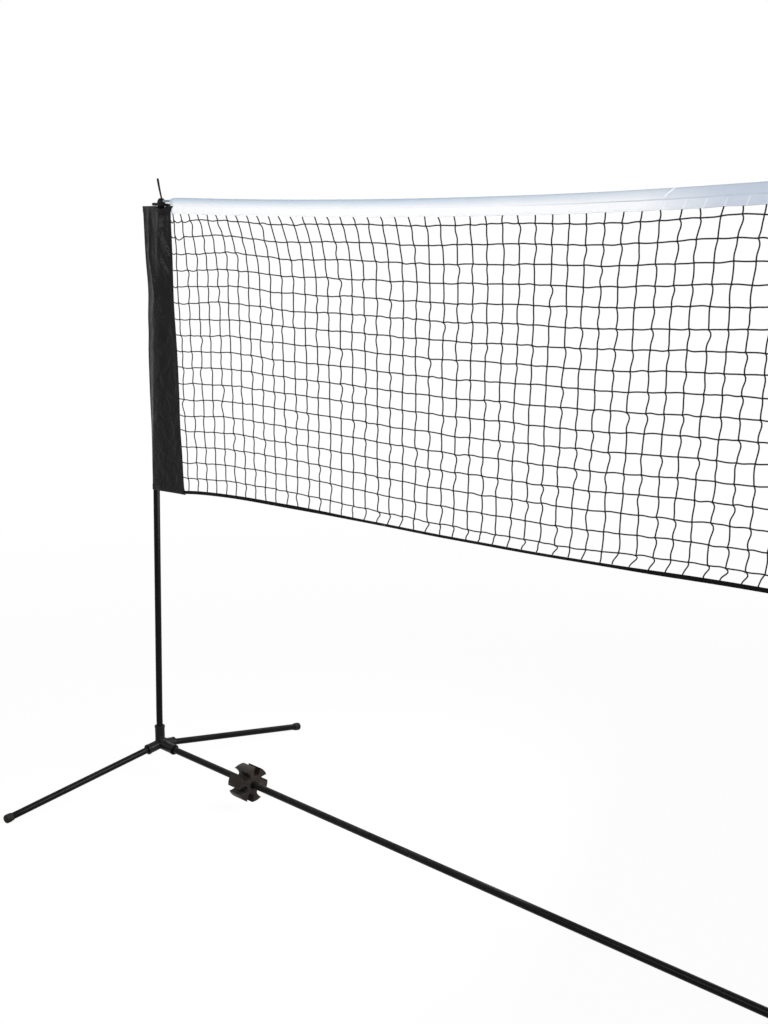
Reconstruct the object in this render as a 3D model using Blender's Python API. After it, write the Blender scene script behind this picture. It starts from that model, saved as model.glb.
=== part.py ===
"""Mini tennis net on a knock-down tube frame, set up at its upper height.

Metres, +Z up. The net runs along +X and is played over along Y. The origin is on
the floor, under the middle of the net. Two corner connectors carry a crossbar, two
posts and four sloping legs. The net hangs between the posts by a cord in its white
head tape, and by a cloth sleeve over each post. Its pull bends the posts inwards.
"""
import math

import bmesh
import bpy
from mathutils import Matrix, Vector

# Overall
SPAN = 3.0               # between the centres of the two corner connectors
POST_TOP = 1.580         # height of the post tubes' upper ends
POST_BEND = 0.086        # how far the net's pull draws each post top inwards
FIT_GAP = 0.0003         # clearance between pieces that fit or rest together
POST_LEAN = 0.0346       # inward slope of the lower tube above its socket
POST_LEAN_RUN = 0.050    # height over which it takes that slope
POST_KNEE_BELOW = 0.090  # how far below the middle joint the rest of the bend starts
POST_KNEE_RUN = 0.200    # height over which the post takes the rest of its slope

# Steel tubes
TUBE_D = 0.018
TUBE_WALL = 0.001
TUBE_SIDES = 16
SPIGOT_LEN = 0.050       # necked tube end that slides into the next tube
NECK_TAPER = 0.012
LOWER_POST_LEN = 0.776   # from its seat in the connector to its shoulder
POST_STEPS = 7           # straight stretches that each bent post tube is made of
BAR_LABELS = ("left", "middle", "right")
BALL_RINGS = 10          # rings of the connectors' round centres
SHARP_ANGLE = math.radians(35)

# Corner connectors
SOCKET_WALL = 0.0045
SOCKET_FLOOR_WALL = 0.0042
COLLAR_LIP = 0.001
COLLAR_LEN = 0.007
POST_SOCKET_REACH = 0.055
BAR_SOCKET_REACH = 0.070
LEG_SOCKET_REACH = 0.0465

# Legs and their end caps
LEG_REACH = 0.5095       # from the connector's centre to the end of the cap
LEG_PLAN = math.radians(87.5)    # seen from above, from the crossbar's direction
LEG_SLOPE = math.radians(7.95)   # below the horizontal
FOOT_WALL = 0.0023
FOOT_GRIP = 0.013        # length of tube inside the cap
FOOT_END = 0.009         # thickness of the cap's closed end
FOOT_ROUND = 0.006
FOOT_ROUND_STEPS = 3
FOOT_FLAT = 0.0006       # depth of the flat that the cap stands on

# Storage clips on the crossbar
CLIP_PLACE = 0.401       # from the connector's centre
CLIP_LEN = 0.050
CLIP_R = 0.047
CLIP_SLOTS = 6
CLIP_SLOT_CENTRE = 0.031
CLIP_SLOT_PLAY = 0.0007  # between a stored tube and its slot
CLIP_MOUTH = 0.0172
CLIP_BEAD = 0.0035       # depth of the narrowed mouth
CLIP_SLOT_STEPS = 6      # stretches of each slot's round bottom
CLIP_RIM_STEPS = 4       # stretches of each outer arc
CLIP_TURN = math.radians(11.0)
CLIP_RUN_GAP = 0.0004

# Post caps, cord cones and tie straps
CAP_DISC_R = 0.024
CAP_DISC_T = 0.0068
CAP_CHAMFER = 0.0015
CAP_PLUG_LEN = 0.025
CONE_BASE_R = 0.011
CONE_TOP_R = 0.0056
CONE_H = 0.0125
CONE_SWELL = 2.6         # power of the cone's flank: 1 is straight, more is rounder
CONE_STEPS = 5
CONE_SIDES = 20
STRAP_W = 0.0056
STRAP_T = 0.0026
STRAP_TIP_FLARE = 0.00026    # how far the round tip stands out past the strap's edges
STRAP_TIP_STEPS = 6
STRAP_LEN = 0.056
STRAP_SEAT = 0.0032      # how deep the strap sits in the cone
STRAP_SHIFT = 0.0020     # how far inwards of the cone's axis it sits
STRAP_LEAN = math.radians(16.5)

# Head cord and head tape
CORD_D = 0.006
CORD_INSET = 0.0025      # from the cone's axis to the cord's end
CORD_HOLE_Z = 0.0048     # height of its hole above the cone's base
TAPE_CLOTH = 0.001
TAPE_FOLD_PLAY = 0.0003  # looseness of the tape's fold round the cord
TAPE_THROAT = 0.0055     # height over which the fold narrows to the two flaps
TAPE_H = 0.038
TAPE_RISE = 0.0205       # tape's top edge above the post tops, at its ends
TAPE_SAG = 0.0368
TAPE_STEPS = 18

# Net and bottom ribbon
NET_COLUMNS = 22         # gaps along the net
NET_ROWS = 11            # gaps down the net
TWINE_W = 0.003
NET_T = 0.002
NET_IN_TAPE = 0.010      # how far the net's edge goes up between the tape's flaps
RIBBON_H = 0.009
RIBBON_T = 0.0024
RIBBON_LIFT = 0.0015     # ribbon's lower edge above the sleeves' lower edge
RIBBON_RISE = 0.0207     # how far it rises out of the sleeves to its level run
RIBBON_RUN = 0.166       # distance in which most of that rise happens
RIBBON_CREST = 0.0213    # height of a low crest over the level run
RIBBON_CREST_PLACE = 0.5     # x of the crest's middle
RIBBON_CREST_WIDTH = 0.489
RIBBON_STEPS = 24

# Side sleeves
SLEEVE_CAP_GAP = 0.0007  # between the sleeve's top edge and the tilted cap's lowest point
SLEEVE_LEN = 0.7535
SLEEVE_PAST_CAP = 0.015  # from the cap's disc to the inner seam, at the top
SLEEVE_FLARE = 0.026     # how much further the inner seam lies at the bottom
SLEEVE_SPARE = 0.005     # from the covered post to the outer seam, at the bottom
SEAM_GAP = 0.0006        # between an inner seam and what is sewn to it
SLEEVE_CLOTH = 0.0012
SLEEVE_SLACK = 0.0012    # between the cloth and the post
SLEEVE_EDGE = 0.0032     # thickness of the sleeve along its seams
SLEEVE_FOLD = 0.0022     # height of its soft folds near the top
SLEEVE_FOLD_TURN = 66.0  # radians of fold for each metre across the cloth
SLEEVE_FOLD_SLANT = 22.0     # radians of fold for each metre up the cloth
SLEEVE_STEPS = 12
SLEEVE_LOW_RUN = 3       # stretches from the outer seam to where the cloth meets the post
SLEEVE_ARC_RUN = 4
SLEEVE_HIGH_RUN = 5

TUBE_R = TUBE_D / 2
BORE_R = TUBE_R + FIT_GAP
SPIGOT_R = TUBE_R - TUBE_WALL - FIT_GAP      # whatever slides into a tube
SOCKET_R = BORE_R + SOCKET_WALL
SOCKET_FLOOR = BORE_R + SOCKET_FLOOR_WALL
TUBE_SEAT = SOCKET_FLOOR + FIT_GAP
FOOT_R = BORE_R + FOOT_WALL
HUB_Z = (
    (LEG_REACH - FOOT_ROUND) * math.sin(LEG_SLOPE)
    + FOOT_R * math.cos(LEG_SLOPE)
    - FOOT_FLAT
)
POST_CLAMP_Z = HUB_Z + POST_SOCKET_REACH
LOWER_POST_TOP = HUB_Z + TUBE_SEAT + LOWER_POST_LEN
POST_KNEE_Z = LOWER_POST_TOP - POST_KNEE_BELOW
SLEEVE_INNER_TOP = POST_BEND + CAP_DISC_R + SLEEVE_PAST_CAP
SLEEVE_INNER_LOW = SLEEVE_INNER_TOP + SLEEVE_FLARE
COVER_R = TUBE_R + SLEEVE_SLACK + SLEEVE_CLOTH
FOLD_R = CORD_D / 2 + FIT_GAP + TAPE_FOLD_PLAY
SIDES = {"left": -1.0, "right": 1.0}


def clear_scene():
    for old in list(bpy.data.objects):
        bpy.data.objects.remove(old, do_unlink=True)


def make_material(name, colour, roughness, metallic=0.0):
    material = bpy.data.materials.new(name)
    material.use_nodes = True
    shader = material.node_tree.nodes["Principled BSDF"]
    shader.inputs["Base Color"].default_value = (*colour, 1.0)
    shader.inputs["Roughness"].default_value = roughness
    shader.inputs["Metallic"].default_value = metallic
    material.diffuse_color = (*colour, 1.0)
    return material


def add_object(name, mesh_or_curve, material, matrix=None, parent=None):
    """Link one named object; matrix is its place in the world."""
    mesh_or_curve.materials.append(material)
    thing = bpy.data.objects.new(name, mesh_or_curve)
    bpy.context.collection.objects.link(thing)
    if parent is not None:
        thing.parent = parent
        thing.matrix_parent_inverse = parent.matrix_world.inverted()
    if matrix is not None:
        thing.matrix_world = matrix
    bpy.context.view_layer.update()
    return thing


def mesh_from(name, bm, smooth_angle=None):
    bmesh.ops.remove_doubles(bm, verts=bm.verts, dist=1e-6)
    bmesh.ops.recalc_face_normals(bm, faces=bm.faces)
    mesh = bpy.data.meshes.new(name)
    bm.to_mesh(mesh)
    bm.free()
    if smooth_angle is not None:
        mesh.shade_smooth()
        mesh.set_sharp_from_angle(angle=smooth_angle)
    return mesh


def lerp(a, b, t):
    return a + (b - a) * t


def axis_frame(origin, direction, reference=Vector((0.0, 1.0, 0.0))):
    """World matrix whose Z lies along direction and whose X leans towards reference."""
    z_axis = direction.normalized()
    x_axis = (reference - z_axis * reference.dot(z_axis)).normalized()
    y_axis = z_axis.cross(x_axis)
    matrix = Matrix((x_axis, y_axis, z_axis)).transposed().to_4x4()
    matrix.translation = origin
    return matrix


def turned_mesh(name, profile, sides=TUBE_SIDES):
    """Turn a closed (radius, height) profile about Z with the spin operator."""
    bm = bmesh.new()
    loop = [bm.verts.new((radius, 0.0, height)) for radius, height in profile]
    edges = [bm.edges.new(pair) for pair in zip(loop, loop[1:] + loop[:1])]
    bmesh.ops.spin(
        bm,
        geom=loop + edges,
        cent=(0.0, 0.0, 0.0),
        axis=(0.0, 0.0, 1.0),
        angle=2 * math.pi,
        steps=sides,
        use_duplicate=False,
        use_merge=True,
    )
    return mesh_from(name, bm, SHARP_ANGLE)


def add_ring(bm, matrix, radius, sides):
    """One ring of points of a tube, square to the matrix's Z axis."""
    points = []
    for k in range(sides):
        angle = 2 * math.pi * k / sides
        local = Vector((radius * math.cos(angle), radius * math.sin(angle), 0.0))
        points.append(bm.verts.new(matrix @ local))
    return points


def join_rings(bm, ring_a, ring_b):
    count = len(ring_a)
    for k in range(count):
        after = (k + 1) % count
        bm.faces.new((ring_a[k], ring_a[after], ring_b[after], ring_b[k]))


def skin_loops(bm, loops):
    """Close a chain of equal loops into a ring-shaped skin, last to first."""
    for ring_a, ring_b in zip(loops, loops[1:] + loops[:1]):
        join_rings(bm, ring_a, ring_b)


def add_cutter(name, mesh, matrix):
    """A hidden object that a Boolean modifier cuts or joins with."""
    cutter = bpy.data.objects.new(name, mesh)
    bpy.context.collection.objects.link(cutter)
    cutter.matrix_world = matrix
    cutter.hide_render = True
    cutter.display_type = "WIRE"
    bpy.context.view_layer.update()
    return cutter


def add_boolean(target, tool, operation):
    modifier = target.modifiers.new(tool.name, "BOOLEAN")
    modifier.operation = operation
    modifier.solver = "EXACT"
    modifier.object = tool


def inward_x(side, distance):
    """World x of a point that lies that far inwards from a post's foot."""
    return side * (SPAN / 2 - distance)


def slope_share(z, start, run):
    """Share of a slope taken on at height z, from 0 at its start to 1 after its run."""
    return min(max((z - start) / run, 0.0), 1.0)


def slope_reach(z, start, run):
    """How far a slope of 1 that comes on over that run leads sideways by height z."""
    return run * slope_share(z, start, run) ** 2 / 2 + max(z - start - run, 0.0)


KNEE_SLOPE = (
    (POST_BEND - POST_LEAN * slope_reach(POST_TOP, POST_CLAMP_Z, POST_LEAN_RUN))
    / slope_reach(POST_TOP, POST_KNEE_Z, POST_KNEE_RUN)
)
SLEEVE_TOP = POST_TOP - CAP_DISC_R * (POST_LEAN + KNEE_SLOPE) - SLEEVE_CAP_GAP
SLEEVE_LOW = SLEEVE_TOP - SLEEVE_LEN


def post_offset(z):
    """How far a post's axis lies inwards: it leans at its socket and bends at its joint."""
    return (
        POST_LEAN * slope_reach(z, POST_CLAMP_Z, POST_LEAN_RUN)
        + KNEE_SLOPE * slope_reach(z, POST_KNEE_Z, POST_KNEE_RUN)
    )


def post_slope(z):
    return (
        POST_LEAN * slope_share(z, POST_CLAMP_Z, POST_LEAN_RUN)
        + KNEE_SLOPE * slope_share(z, POST_KNEE_Z, POST_KNEE_RUN)
    )


def post_frame(side, z):
    """Matrix on a post's axis at height z, with its Z along the tube."""
    direction = Vector((-side * post_slope(z), 0.0, 1.0))
    return axis_frame(Vector((inward_x(side, post_offset(z)), 0.0, z)), direction)


def sleeve_outer():
    """Outer edge of a sleeve, measured inwards from the post's foot."""
    return post_offset(SLEEVE_LOW) - COVER_R - SLEEVE_SPARE


def tape_top_z(x):
    reach = SPAN / 2 - SLEEVE_INNER_TOP
    return POST_TOP + TAPE_RISE - TAPE_SAG * (1 - min((x / reach) ** 2, 1.0))


def ribbon_top_z(x):
    """The ribbon soon rises out of both sleeves to a level run with a low, wide crest."""
    reach = SPAN / 2 - SLEEVE_INNER_LOW
    free_left = 1 - math.exp(-max(reach + x, 0.0) / RIBBON_RUN)
    free_right = 1 - math.exp(-max(reach - x, 0.0) / RIBBON_RUN)
    crest = RIBBON_CREST * math.exp(-(((x - RIBBON_CREST_PLACE) / RIBBON_CREST_WIDTH) ** 2))
    lowest = SLEEVE_LOW + RIBBON_LIFT + RIBBON_H
    return lowest + free_left * free_right * (RIBBON_RISE + crest)


def sleeve_inner(z):
    """Inner edge of a sleeve, measured inwards from the post's foot."""
    return lerp(SLEEVE_INNER_LOW, SLEEVE_INNER_TOP, (z - SLEEVE_LOW) / SLEEVE_LEN)


def leg_direction(side, depth):
    """Unit vector down a leg; depth is -1 for the front leg and 1 for the back."""
    level = math.cos(LEG_SLOPE)
    return Vector(
        (
            -side * math.cos(LEG_PLAN) * level,
            depth * math.sin(LEG_PLAN) * level,
            -math.sin(LEG_SLOPE),
        )
    )


def hub_centre(side):
    return Vector((side * SPAN / 2, 0.0, HUB_Z))


def socket_frame(side, direction):
    """Matrix at a connector's centre whose Z runs out along one of its sockets."""
    upright = abs(direction.z) > 0.9
    reference = Vector((0.0, 1.0, 0.0)) if upright else Vector((0.0, 0.0, 1.0))
    return axis_frame(hub_centre(side), direction, reference)


def tube_profile(start, end, shoulder=None):
    """Profile of a straight tube; past the shoulder it is necked to a spigot."""
    inner = TUBE_R - TUBE_WALL
    if shoulder is None:
        return [(inner, start), (TUBE_R, start), (TUBE_R, end), (inner, end)]
    neck = SPIGOT_R - TUBE_WALL
    return [
        (inner, start),
        (TUBE_R, start),
        (TUBE_R, shoulder),
        (SPIGOT_R, shoulder),
        (SPIGOT_R, end),
        (neck, end),
        (neck, shoulder),
        (inner, shoulder - NECK_TAPER),
    ]


def make_connector(label, side, material):
    """Moulded corner: a ball with a post, a crossbar and two leg sockets."""
    arms = {
        "post": (Vector((0.0, 0.0, 1.0)), POST_SOCKET_REACH),
        "bar": (Vector((-side, 0.0, 0.0)), BAR_SOCKET_REACH),
        "front": (leg_direction(side, -1), LEG_SOCKET_REACH),
        "back": (leg_direction(side, 1), LEG_SOCKET_REACH),
    }
    ball = bmesh.new()
    bmesh.ops.create_uvsphere(
        ball, u_segments=TUBE_SIDES, v_segments=BALL_RINGS, radius=SOCKET_R
    )
    body = add_object(
        f"connector_{label}", mesh_from("connector_ball", ball), material,
        Matrix.Translation(hub_centre(side)),
    )
    for arm, (direction, reach) in arms.items():
        collar_r = SOCKET_R + COLLAR_LIP
        outline = [
            (0.0, 0.0), (SOCKET_R, 0.0), (SOCKET_R, reach - COLLAR_LEN),
            (collar_r, reach - COLLAR_LEN + COLLAR_LIP), (collar_r, reach), (0.0, reach),
        ]
        sleeve = turned_mesh(f"{label}_{arm}_socket", outline)
        place = socket_frame(side, direction)
        add_boolean(body, add_cutter(f"{label}_{arm}_socket", sleeve, place), "UNION")
    for arm, (direction, reach) in arms.items():
        hole = [(0.0, SOCKET_FLOOR), (BORE_R, SOCKET_FLOOR), (BORE_R, 2 * reach), (0.0, 2 * reach)]
        bore = turned_mesh(f"{label}_{arm}_bore", hole)
        place = socket_frame(side, direction)
        add_boolean(body, add_cutter(f"{label}_{arm}_bore", bore, place), "DIFFERENCE")


def make_leg(label, side, depth_label, depth, steel, rubber):
    """Leg tube with the rubber cap that it stands on; both lie along local Z."""
    place = socket_frame(side, leg_direction(side, depth))
    tube_end = LEG_REACH - FOOT_END - FIT_GAP
    tube = add_object(
        f"leg_tube_{depth_label}_{label}",
        turned_mesh("leg_tube", tube_profile(TUBE_SEAT, tube_end)),
        steel,
        place,
    )
    mouth = tube_end - FOOT_GRIP
    floor = LEG_REACH - FOOT_END
    outline = [(BORE_R, mouth), (FOOT_R, mouth)]
    for k in range(FOOT_ROUND_STEPS + 1):
        turn = math.pi / 2 * k / FOOT_ROUND_STEPS
        outline.append(
            (
                FOOT_R - FOOT_ROUND * (1 - math.cos(turn)),
                LEG_REACH - FOOT_ROUND * (1 - math.sin(turn)),
            )
        )
    outline += [(0.0, LEG_REACH), (0.0, floor), (BORE_R, floor)]
    cap = add_object(
        f"foot_cap_{depth_label}_{label}",
        turned_mesh("foot_cap", outline),
        rubber,
        place,
        parent=tube,
    )
    block = bmesh.new()
    bmesh.ops.create_cube(block, size=LEG_REACH)
    below_floor = Matrix.Translation((place @ Vector((0.0, 0.0, LEG_REACH))).xy.to_3d())
    below_floor.translation.z = -LEG_REACH / 2
    name = f"floor_{depth_label}_{label}"
    add_boolean(cap, add_cutter(name, mesh_from(name, block), below_floor), "DIFFERENCE")


def make_crossbar(steel):
    """Tubes in a line; each end tube is necked to slide into the middle ones."""
    half = SPAN / 2 - TUBE_SEAT
    section = 2 * half / len(BAR_LABELS)
    for k, label in enumerate(BAR_LABELS):
        start = -half + k * section + (FIT_GAP if k else 0.0)
        end = -half + (k + 1) * section
        if label == BAR_LABELS[-1]:
            profile = tube_profile(start, end)
        else:
            profile = tube_profile(start, end + SPIGOT_LEN, shoulder=end)
        place = axis_frame(Vector((0.0, 0.0, HUB_Z)), Vector((1.0, 0.0, 0.0)))
        add_object(f"crossbar_tube_{label}", turned_mesh("crossbar_tube", profile), steel, place)


def make_post_tube(name, side, stations, material):
    """Bent tube: stations are (height, outer radius, inner radius)."""
    bm = bmesh.new()
    outer = []
    inner = []
    for z, outer_r, inner_r in stations:
        frame = post_frame(side, z)
        outer.append(add_ring(bm, frame, outer_r, TUBE_SIDES))
        inner.append(add_ring(bm, frame, inner_r, TUBE_SIDES))
    skin_loops(bm, outer + inner[::-1])
    add_object(name, mesh_from(name, bm, SHARP_ANGLE), material)


def make_posts(label, side, steel):
    """Each post is two tubes: the lower one is necked and the upper one slides over it."""
    bore = TUBE_R - TUBE_WALL
    neck = SPIGOT_R - TUBE_WALL
    low = HUB_Z + TUBE_SEAT
    stations = [(low, TUBE_R, bore)]
    for k in range(POST_STEPS):
        z = lerp(POST_CLAMP_Z, LOWER_POST_TOP - NECK_TAPER, k / (POST_STEPS - 1))
        stations.append((z, TUBE_R, bore))
    stations += [
        (LOWER_POST_TOP, TUBE_R, neck),
        (LOWER_POST_TOP, SPIGOT_R, neck),
        (LOWER_POST_TOP + SPIGOT_LEN, SPIGOT_R, neck),
    ]
    make_post_tube(f"post_lower_{label}", side, stations, steel)
    spigot_end = LOWER_POST_TOP + SPIGOT_LEN
    stations = [(LOWER_POST_TOP + FIT_GAP, TUBE_R, bore)]
    for k in range(POST_STEPS):
        stations.append((lerp(spigot_end, POST_TOP, k / (POST_STEPS - 1)), TUBE_R, bore))
    make_post_tube(f"post_upper_{label}", side, stations, steel)


def clip_outline():
    """Outer arcs broken by deep U-shaped slots, each with a narrowed mouth."""
    slot_r = TUBE_R + CLIP_SLOT_PLAY
    mouth = CLIP_MOUTH / 2
    pitch = 2 * math.pi / CLIP_SLOTS
    edge = math.asin(mouth / CLIP_R)
    rim_depth = CLIP_R * math.cos(edge)
    points = []
    for k in range(CLIP_SLOTS):
        middle = CLIP_TURN + k * pitch
        local = [(rim_depth, -mouth), (rim_depth - CLIP_BEAD / 2, -mouth)]
        local.append((rim_depth - CLIP_BEAD, -slot_r))
        for step in range(CLIP_SLOT_STEPS + 1):
            turn = -math.pi / 2 - math.pi * step / CLIP_SLOT_STEPS
            local.append(
                (CLIP_SLOT_CENTRE + slot_r * math.cos(turn), slot_r * math.sin(turn))
            )
        local += [
            (rim_depth - CLIP_BEAD, slot_r),
            (rim_depth - CLIP_BEAD / 2, mouth),
            (rim_depth, mouth),
        ]
        for along, across in local:
            points.append(
                (
                    along * math.cos(middle) - across * math.sin(middle),
                    along * math.sin(middle) + across * math.cos(middle),
                )
            )
        for step in range(1, CLIP_RIM_STEPS):
            turn = middle + lerp(edge, pitch - edge, step / CLIP_RIM_STEPS)
            points.append((CLIP_R * math.cos(turn), CLIP_R * math.sin(turn)))
    return points


def make_clip(label, side, plastic):
    """Extruded star with a bore that runs on the crossbar and six open tube slots."""
    bm = bmesh.new()
    rim = [bm.verts.new((x, y, -CLIP_LEN / 2)) for x, y in clip_outline()]
    face = bm.faces.new(rim)
    raised = bmesh.ops.extrude_face_region(bm, geom=[face])["geom"]
    top = [item for item in raised if isinstance(item, bmesh.types.BMVert)]
    bmesh.ops.translate(bm, verts=top, vec=(0.0, 0.0, CLIP_LEN))
    centre = Vector((inward_x(side, CLIP_PLACE), 0.0, HUB_Z))
    place = axis_frame(centre, Vector((1.0, 0.0, 0.0)))
    body = add_object(f"storage_clip_{label}", mesh_from("storage_clip", bm), plastic, place)
    bore_r = TUBE_R + CLIP_RUN_GAP
    hole = [(0.0, -CLIP_LEN), (bore_r, -CLIP_LEN), (bore_r, CLIP_LEN), (0.0, CLIP_LEN)]
    cutter = add_cutter(f"clip_bore_{label}", turned_mesh("clip_bore", hole), place)
    add_boolean(body, cutter, "DIFFERENCE")


def cone_frame(side):
    """Matrix at the cone's base, on top of the cap's disc."""
    frame = post_frame(side, POST_TOP)
    return frame @ Matrix.Translation((0.0, 0.0, CAP_DISC_T + 2 * FIT_GAP))


def strap_frame(side):
    """Matrix at the strap's lower end, inside the cone; Z runs up the strap."""
    frame = cone_frame(side)
    foot = frame @ Vector((0.0, 0.0, CONE_H - STRAP_SEAT + FIT_GAP))
    foot.x -= side * STRAP_SHIFT
    lean = Vector((side * math.sin(STRAP_LEAN), 0.0, math.cos(STRAP_LEAN)))
    return axis_frame(foot, lean)


def cord_points():
    """Route of the head cord: out of one cone, along the tape's fold, into the other."""
    cord_drop = TAPE_CLOTH + FOLD_R
    ends = []
    for side in SIDES.values():
        frame = cone_frame(side)
        inward = Vector((-side, 0.0, 0.0))
        hole = frame @ Vector((0.0, 0.0, CORD_HOLE_Z))
        ends.append(hole + inward * CORD_INSET)
    inside = []
    reach = SPAN / 2 - SLEEVE_INNER_TOP - CORD_D
    for k in range(TAPE_STEPS + 1):
        x = lerp(-reach, reach, k / TAPE_STEPS)
        inside.append(Vector((x, 0.0, tape_top_z(x) - cord_drop)))
    return ends[:1] + inside + ends[1:]


def make_post_top(label, side, plastic, strap_material):
    """Cap plugged into the post, the cone that holds the cord, and the tie strap."""
    frame = post_frame(side, POST_TOP)
    cap_top = FIT_GAP + CAP_DISC_T
    cap_outline = [
        (0.0, -CAP_PLUG_LEN), (SPIGOT_R, -CAP_PLUG_LEN), (SPIGOT_R, FIT_GAP),
        (CAP_DISC_R, FIT_GAP), (CAP_DISC_R, cap_top - CAP_CHAMFER),
        (CAP_DISC_R - CAP_CHAMFER, cap_top), (0.0, cap_top),
    ]
    cap = add_object(f"post_cap_{label}", turned_mesh("post_cap", cap_outline), plastic, frame)
    cone_outline = [(0.0, 0.0)]
    for k in range(CONE_STEPS + 1):
        t = k / CONE_STEPS
        cone_outline.append((lerp(CONE_BASE_R, CONE_TOP_R, t**CONE_SWELL), CONE_H * t))
    cone_outline.append((0.0, CONE_H))
    cone = add_object(
        f"cord_cone_{label}", turned_mesh("cord_cone", cone_outline, CONE_SIDES), plastic,
        cone_frame(side), parent=cap,
    )
    points = cord_points()
    near, far = (points[0], points[1]) if side < 0 else (points[-1], points[-2])
    along = (far - near).normalized()
    hole_r = CORD_D / 2 + FIT_GAP
    hole = [(0.0, -FIT_GAP), (hole_r, -FIT_GAP), (hole_r, CONE_BASE_R * 2), (0.0, CONE_BASE_R * 2)]
    bore = add_cutter(
        f"cord_hole_{label}", turned_mesh("cord_hole", hole), axis_frame(near, along)
    )
    add_boolean(cone, bore, "DIFFERENCE")
    slot = bmesh.new()
    bmesh.ops.create_cube(slot, size=1.0)
    size = Matrix.Diagonal((STRAP_W + 2 * FIT_GAP, STRAP_T + 2 * FIT_GAP, 2 * CONE_H, 1.0))
    lift = Matrix.Translation((0.0, 0.0, CONE_H - FIT_GAP))
    bmesh.ops.transform(slot, matrix=lift @ size, verts=slot.verts)
    cutter = add_cutter(f"strap_slot_{label}", mesh_from("strap_slot", slot), strap_frame(side))
    add_boolean(cone, cutter, "DIFFERENCE")
    make_strap(label, side, strap_material, cone)


def make_strap(label, side, material, cone):
    """Stiff flat strap with a rounded, slightly wider tip."""
    bm = bmesh.new()
    outline = [(-STRAP_W / 2, 0.0)]
    tip_r = STRAP_W / 2 + STRAP_TIP_FLARE
    for step in range(STRAP_TIP_STEPS + 1):
        turn = math.pi - math.pi * step / STRAP_TIP_STEPS
        outline.append((tip_r * math.cos(turn), STRAP_LEN - tip_r + tip_r * math.sin(turn)))
    outline.append((STRAP_W / 2, 0.0))
    rim = [bm.verts.new((across, -STRAP_T / 2, up)) for across, up in outline]
    raised = bmesh.ops.extrude_face_region(bm, geom=[bm.faces.new(rim)])["geom"]
    back = [item for item in raised if isinstance(item, bmesh.types.BMVert)]
    bmesh.ops.translate(bm, verts=back, vec=(0.0, STRAP_T, 0.0))
    mesh = mesh_from("tie_strap", bm)
    add_object(f"tie_strap_{label}", mesh, material, strap_frame(side), parent=cone)


def make_head_cord(material):
    curve = bpy.data.curves.new("head_cord", "CURVE")
    curve.dimensions = "3D"
    curve.bevel_depth = CORD_D / 2
    curve.bevel_resolution = 2
    curve.use_fill_caps = True
    curve.render_resolution_u = 0
    spline = curve.splines.new("POLY")
    points = cord_points()
    spline.points.add(len(points) - 1)
    for slot, point in zip(spline.points, points):
        slot.co = (*point, 1.0)
    add_object("head_cord", curve, material)


def tape_section():
    """Folded tape in (across, below the top): round the cord, then two hanging flaps."""
    flap = NET_T / 2 + FIT_GAP
    loops = []
    for extra in (TAPE_CLOTH, 0.0):
        r = FOLD_R + extra
        half = [(flap + extra, TAPE_H), (flap + extra, r + FOLD_R + TAPE_THROAT)]
        half += [
            (r * math.cos(math.pi / 4 * k), TAPE_CLOTH + FOLD_R - r * math.sin(math.pi / 4 * k))
            for k in range(3)
        ]
        mirrored = [(-across, down) for across, down in half[-2::-1]]
        loops.append(half + mirrored)
    outer, inner = loops
    return outer + inner[::-1]


def make_head_tape(cloth):
    section = tape_section()
    reach = SPAN / 2 - sleeve_inner(POST_TOP + TAPE_RISE - TAPE_H) - SEAM_GAP
    bm = bmesh.new()
    loops = []
    for k in range(TAPE_STEPS + 1):
        x = lerp(-reach, reach, k / TAPE_STEPS)
        top = tape_top_z(x)
        loops.append([bm.verts.new((x, across, top - down)) for across, down in section])
    for ring_a, ring_b in zip(loops, loops[1:]):
        join_rings(bm, ring_a, ring_b)
    bm.faces.new(loops[0])
    bm.faces.new(loops[-1])
    add_object("head_tape", mesh_from("head_tape", bm), cloth)


def grid_lines(count, width):
    """Both edges of each strand, as shares of the whole, for count gaps."""
    lines = []
    for k in range(count + 1):
        middle = lerp(width / 2, 1 - width / 2, k / count)
        lines += [middle - width / 2, middle + width / 2]
    return lines


def net_point(u, v):
    """Point of the net; u runs along it and v down it."""
    z_guess = lerp(SLEEVE_TOP, SLEEVE_LOW, v)
    reach = SPAN / 2 - sleeve_inner(z_guess) - SEAM_GAP
    x = lerp(-reach, reach, u)
    top = tape_top_z(x) - TAPE_H + NET_IN_TAPE
    low = ribbon_top_z(x) + 2 * FIT_GAP
    return Vector((x, -NET_T / 2, lerp(top, low, v)))


def make_net(twine):
    """Square mesh: the strands' front faces are laid out, then given thickness."""
    columns = grid_lines(NET_COLUMNS, TWINE_W / SPAN)
    rows = grid_lines(NET_ROWS, TWINE_W / SLEEVE_LEN)
    bm = bmesh.new()
    grid = [[bm.verts.new(net_point(u, v)) for v in rows] for u in columns]
    faces = []
    for i in range(len(columns) - 1):
        for j in range(len(rows) - 1):
            if i % 2 and j % 2:
                continue
            corners = (grid[i][j], grid[i + 1][j], grid[i + 1][j + 1], grid[i][j + 1])
            faces.append(bm.faces.new(corners))
    raised = bmesh.ops.extrude_face_region(bm, geom=faces)["geom"]
    back = [item for item in raised if isinstance(item, bmesh.types.BMVert)]
    bmesh.ops.translate(bm, verts=back, vec=(0.0, NET_T, 0.0))
    add_object("net", mesh_from("net", bm), twine)


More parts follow.
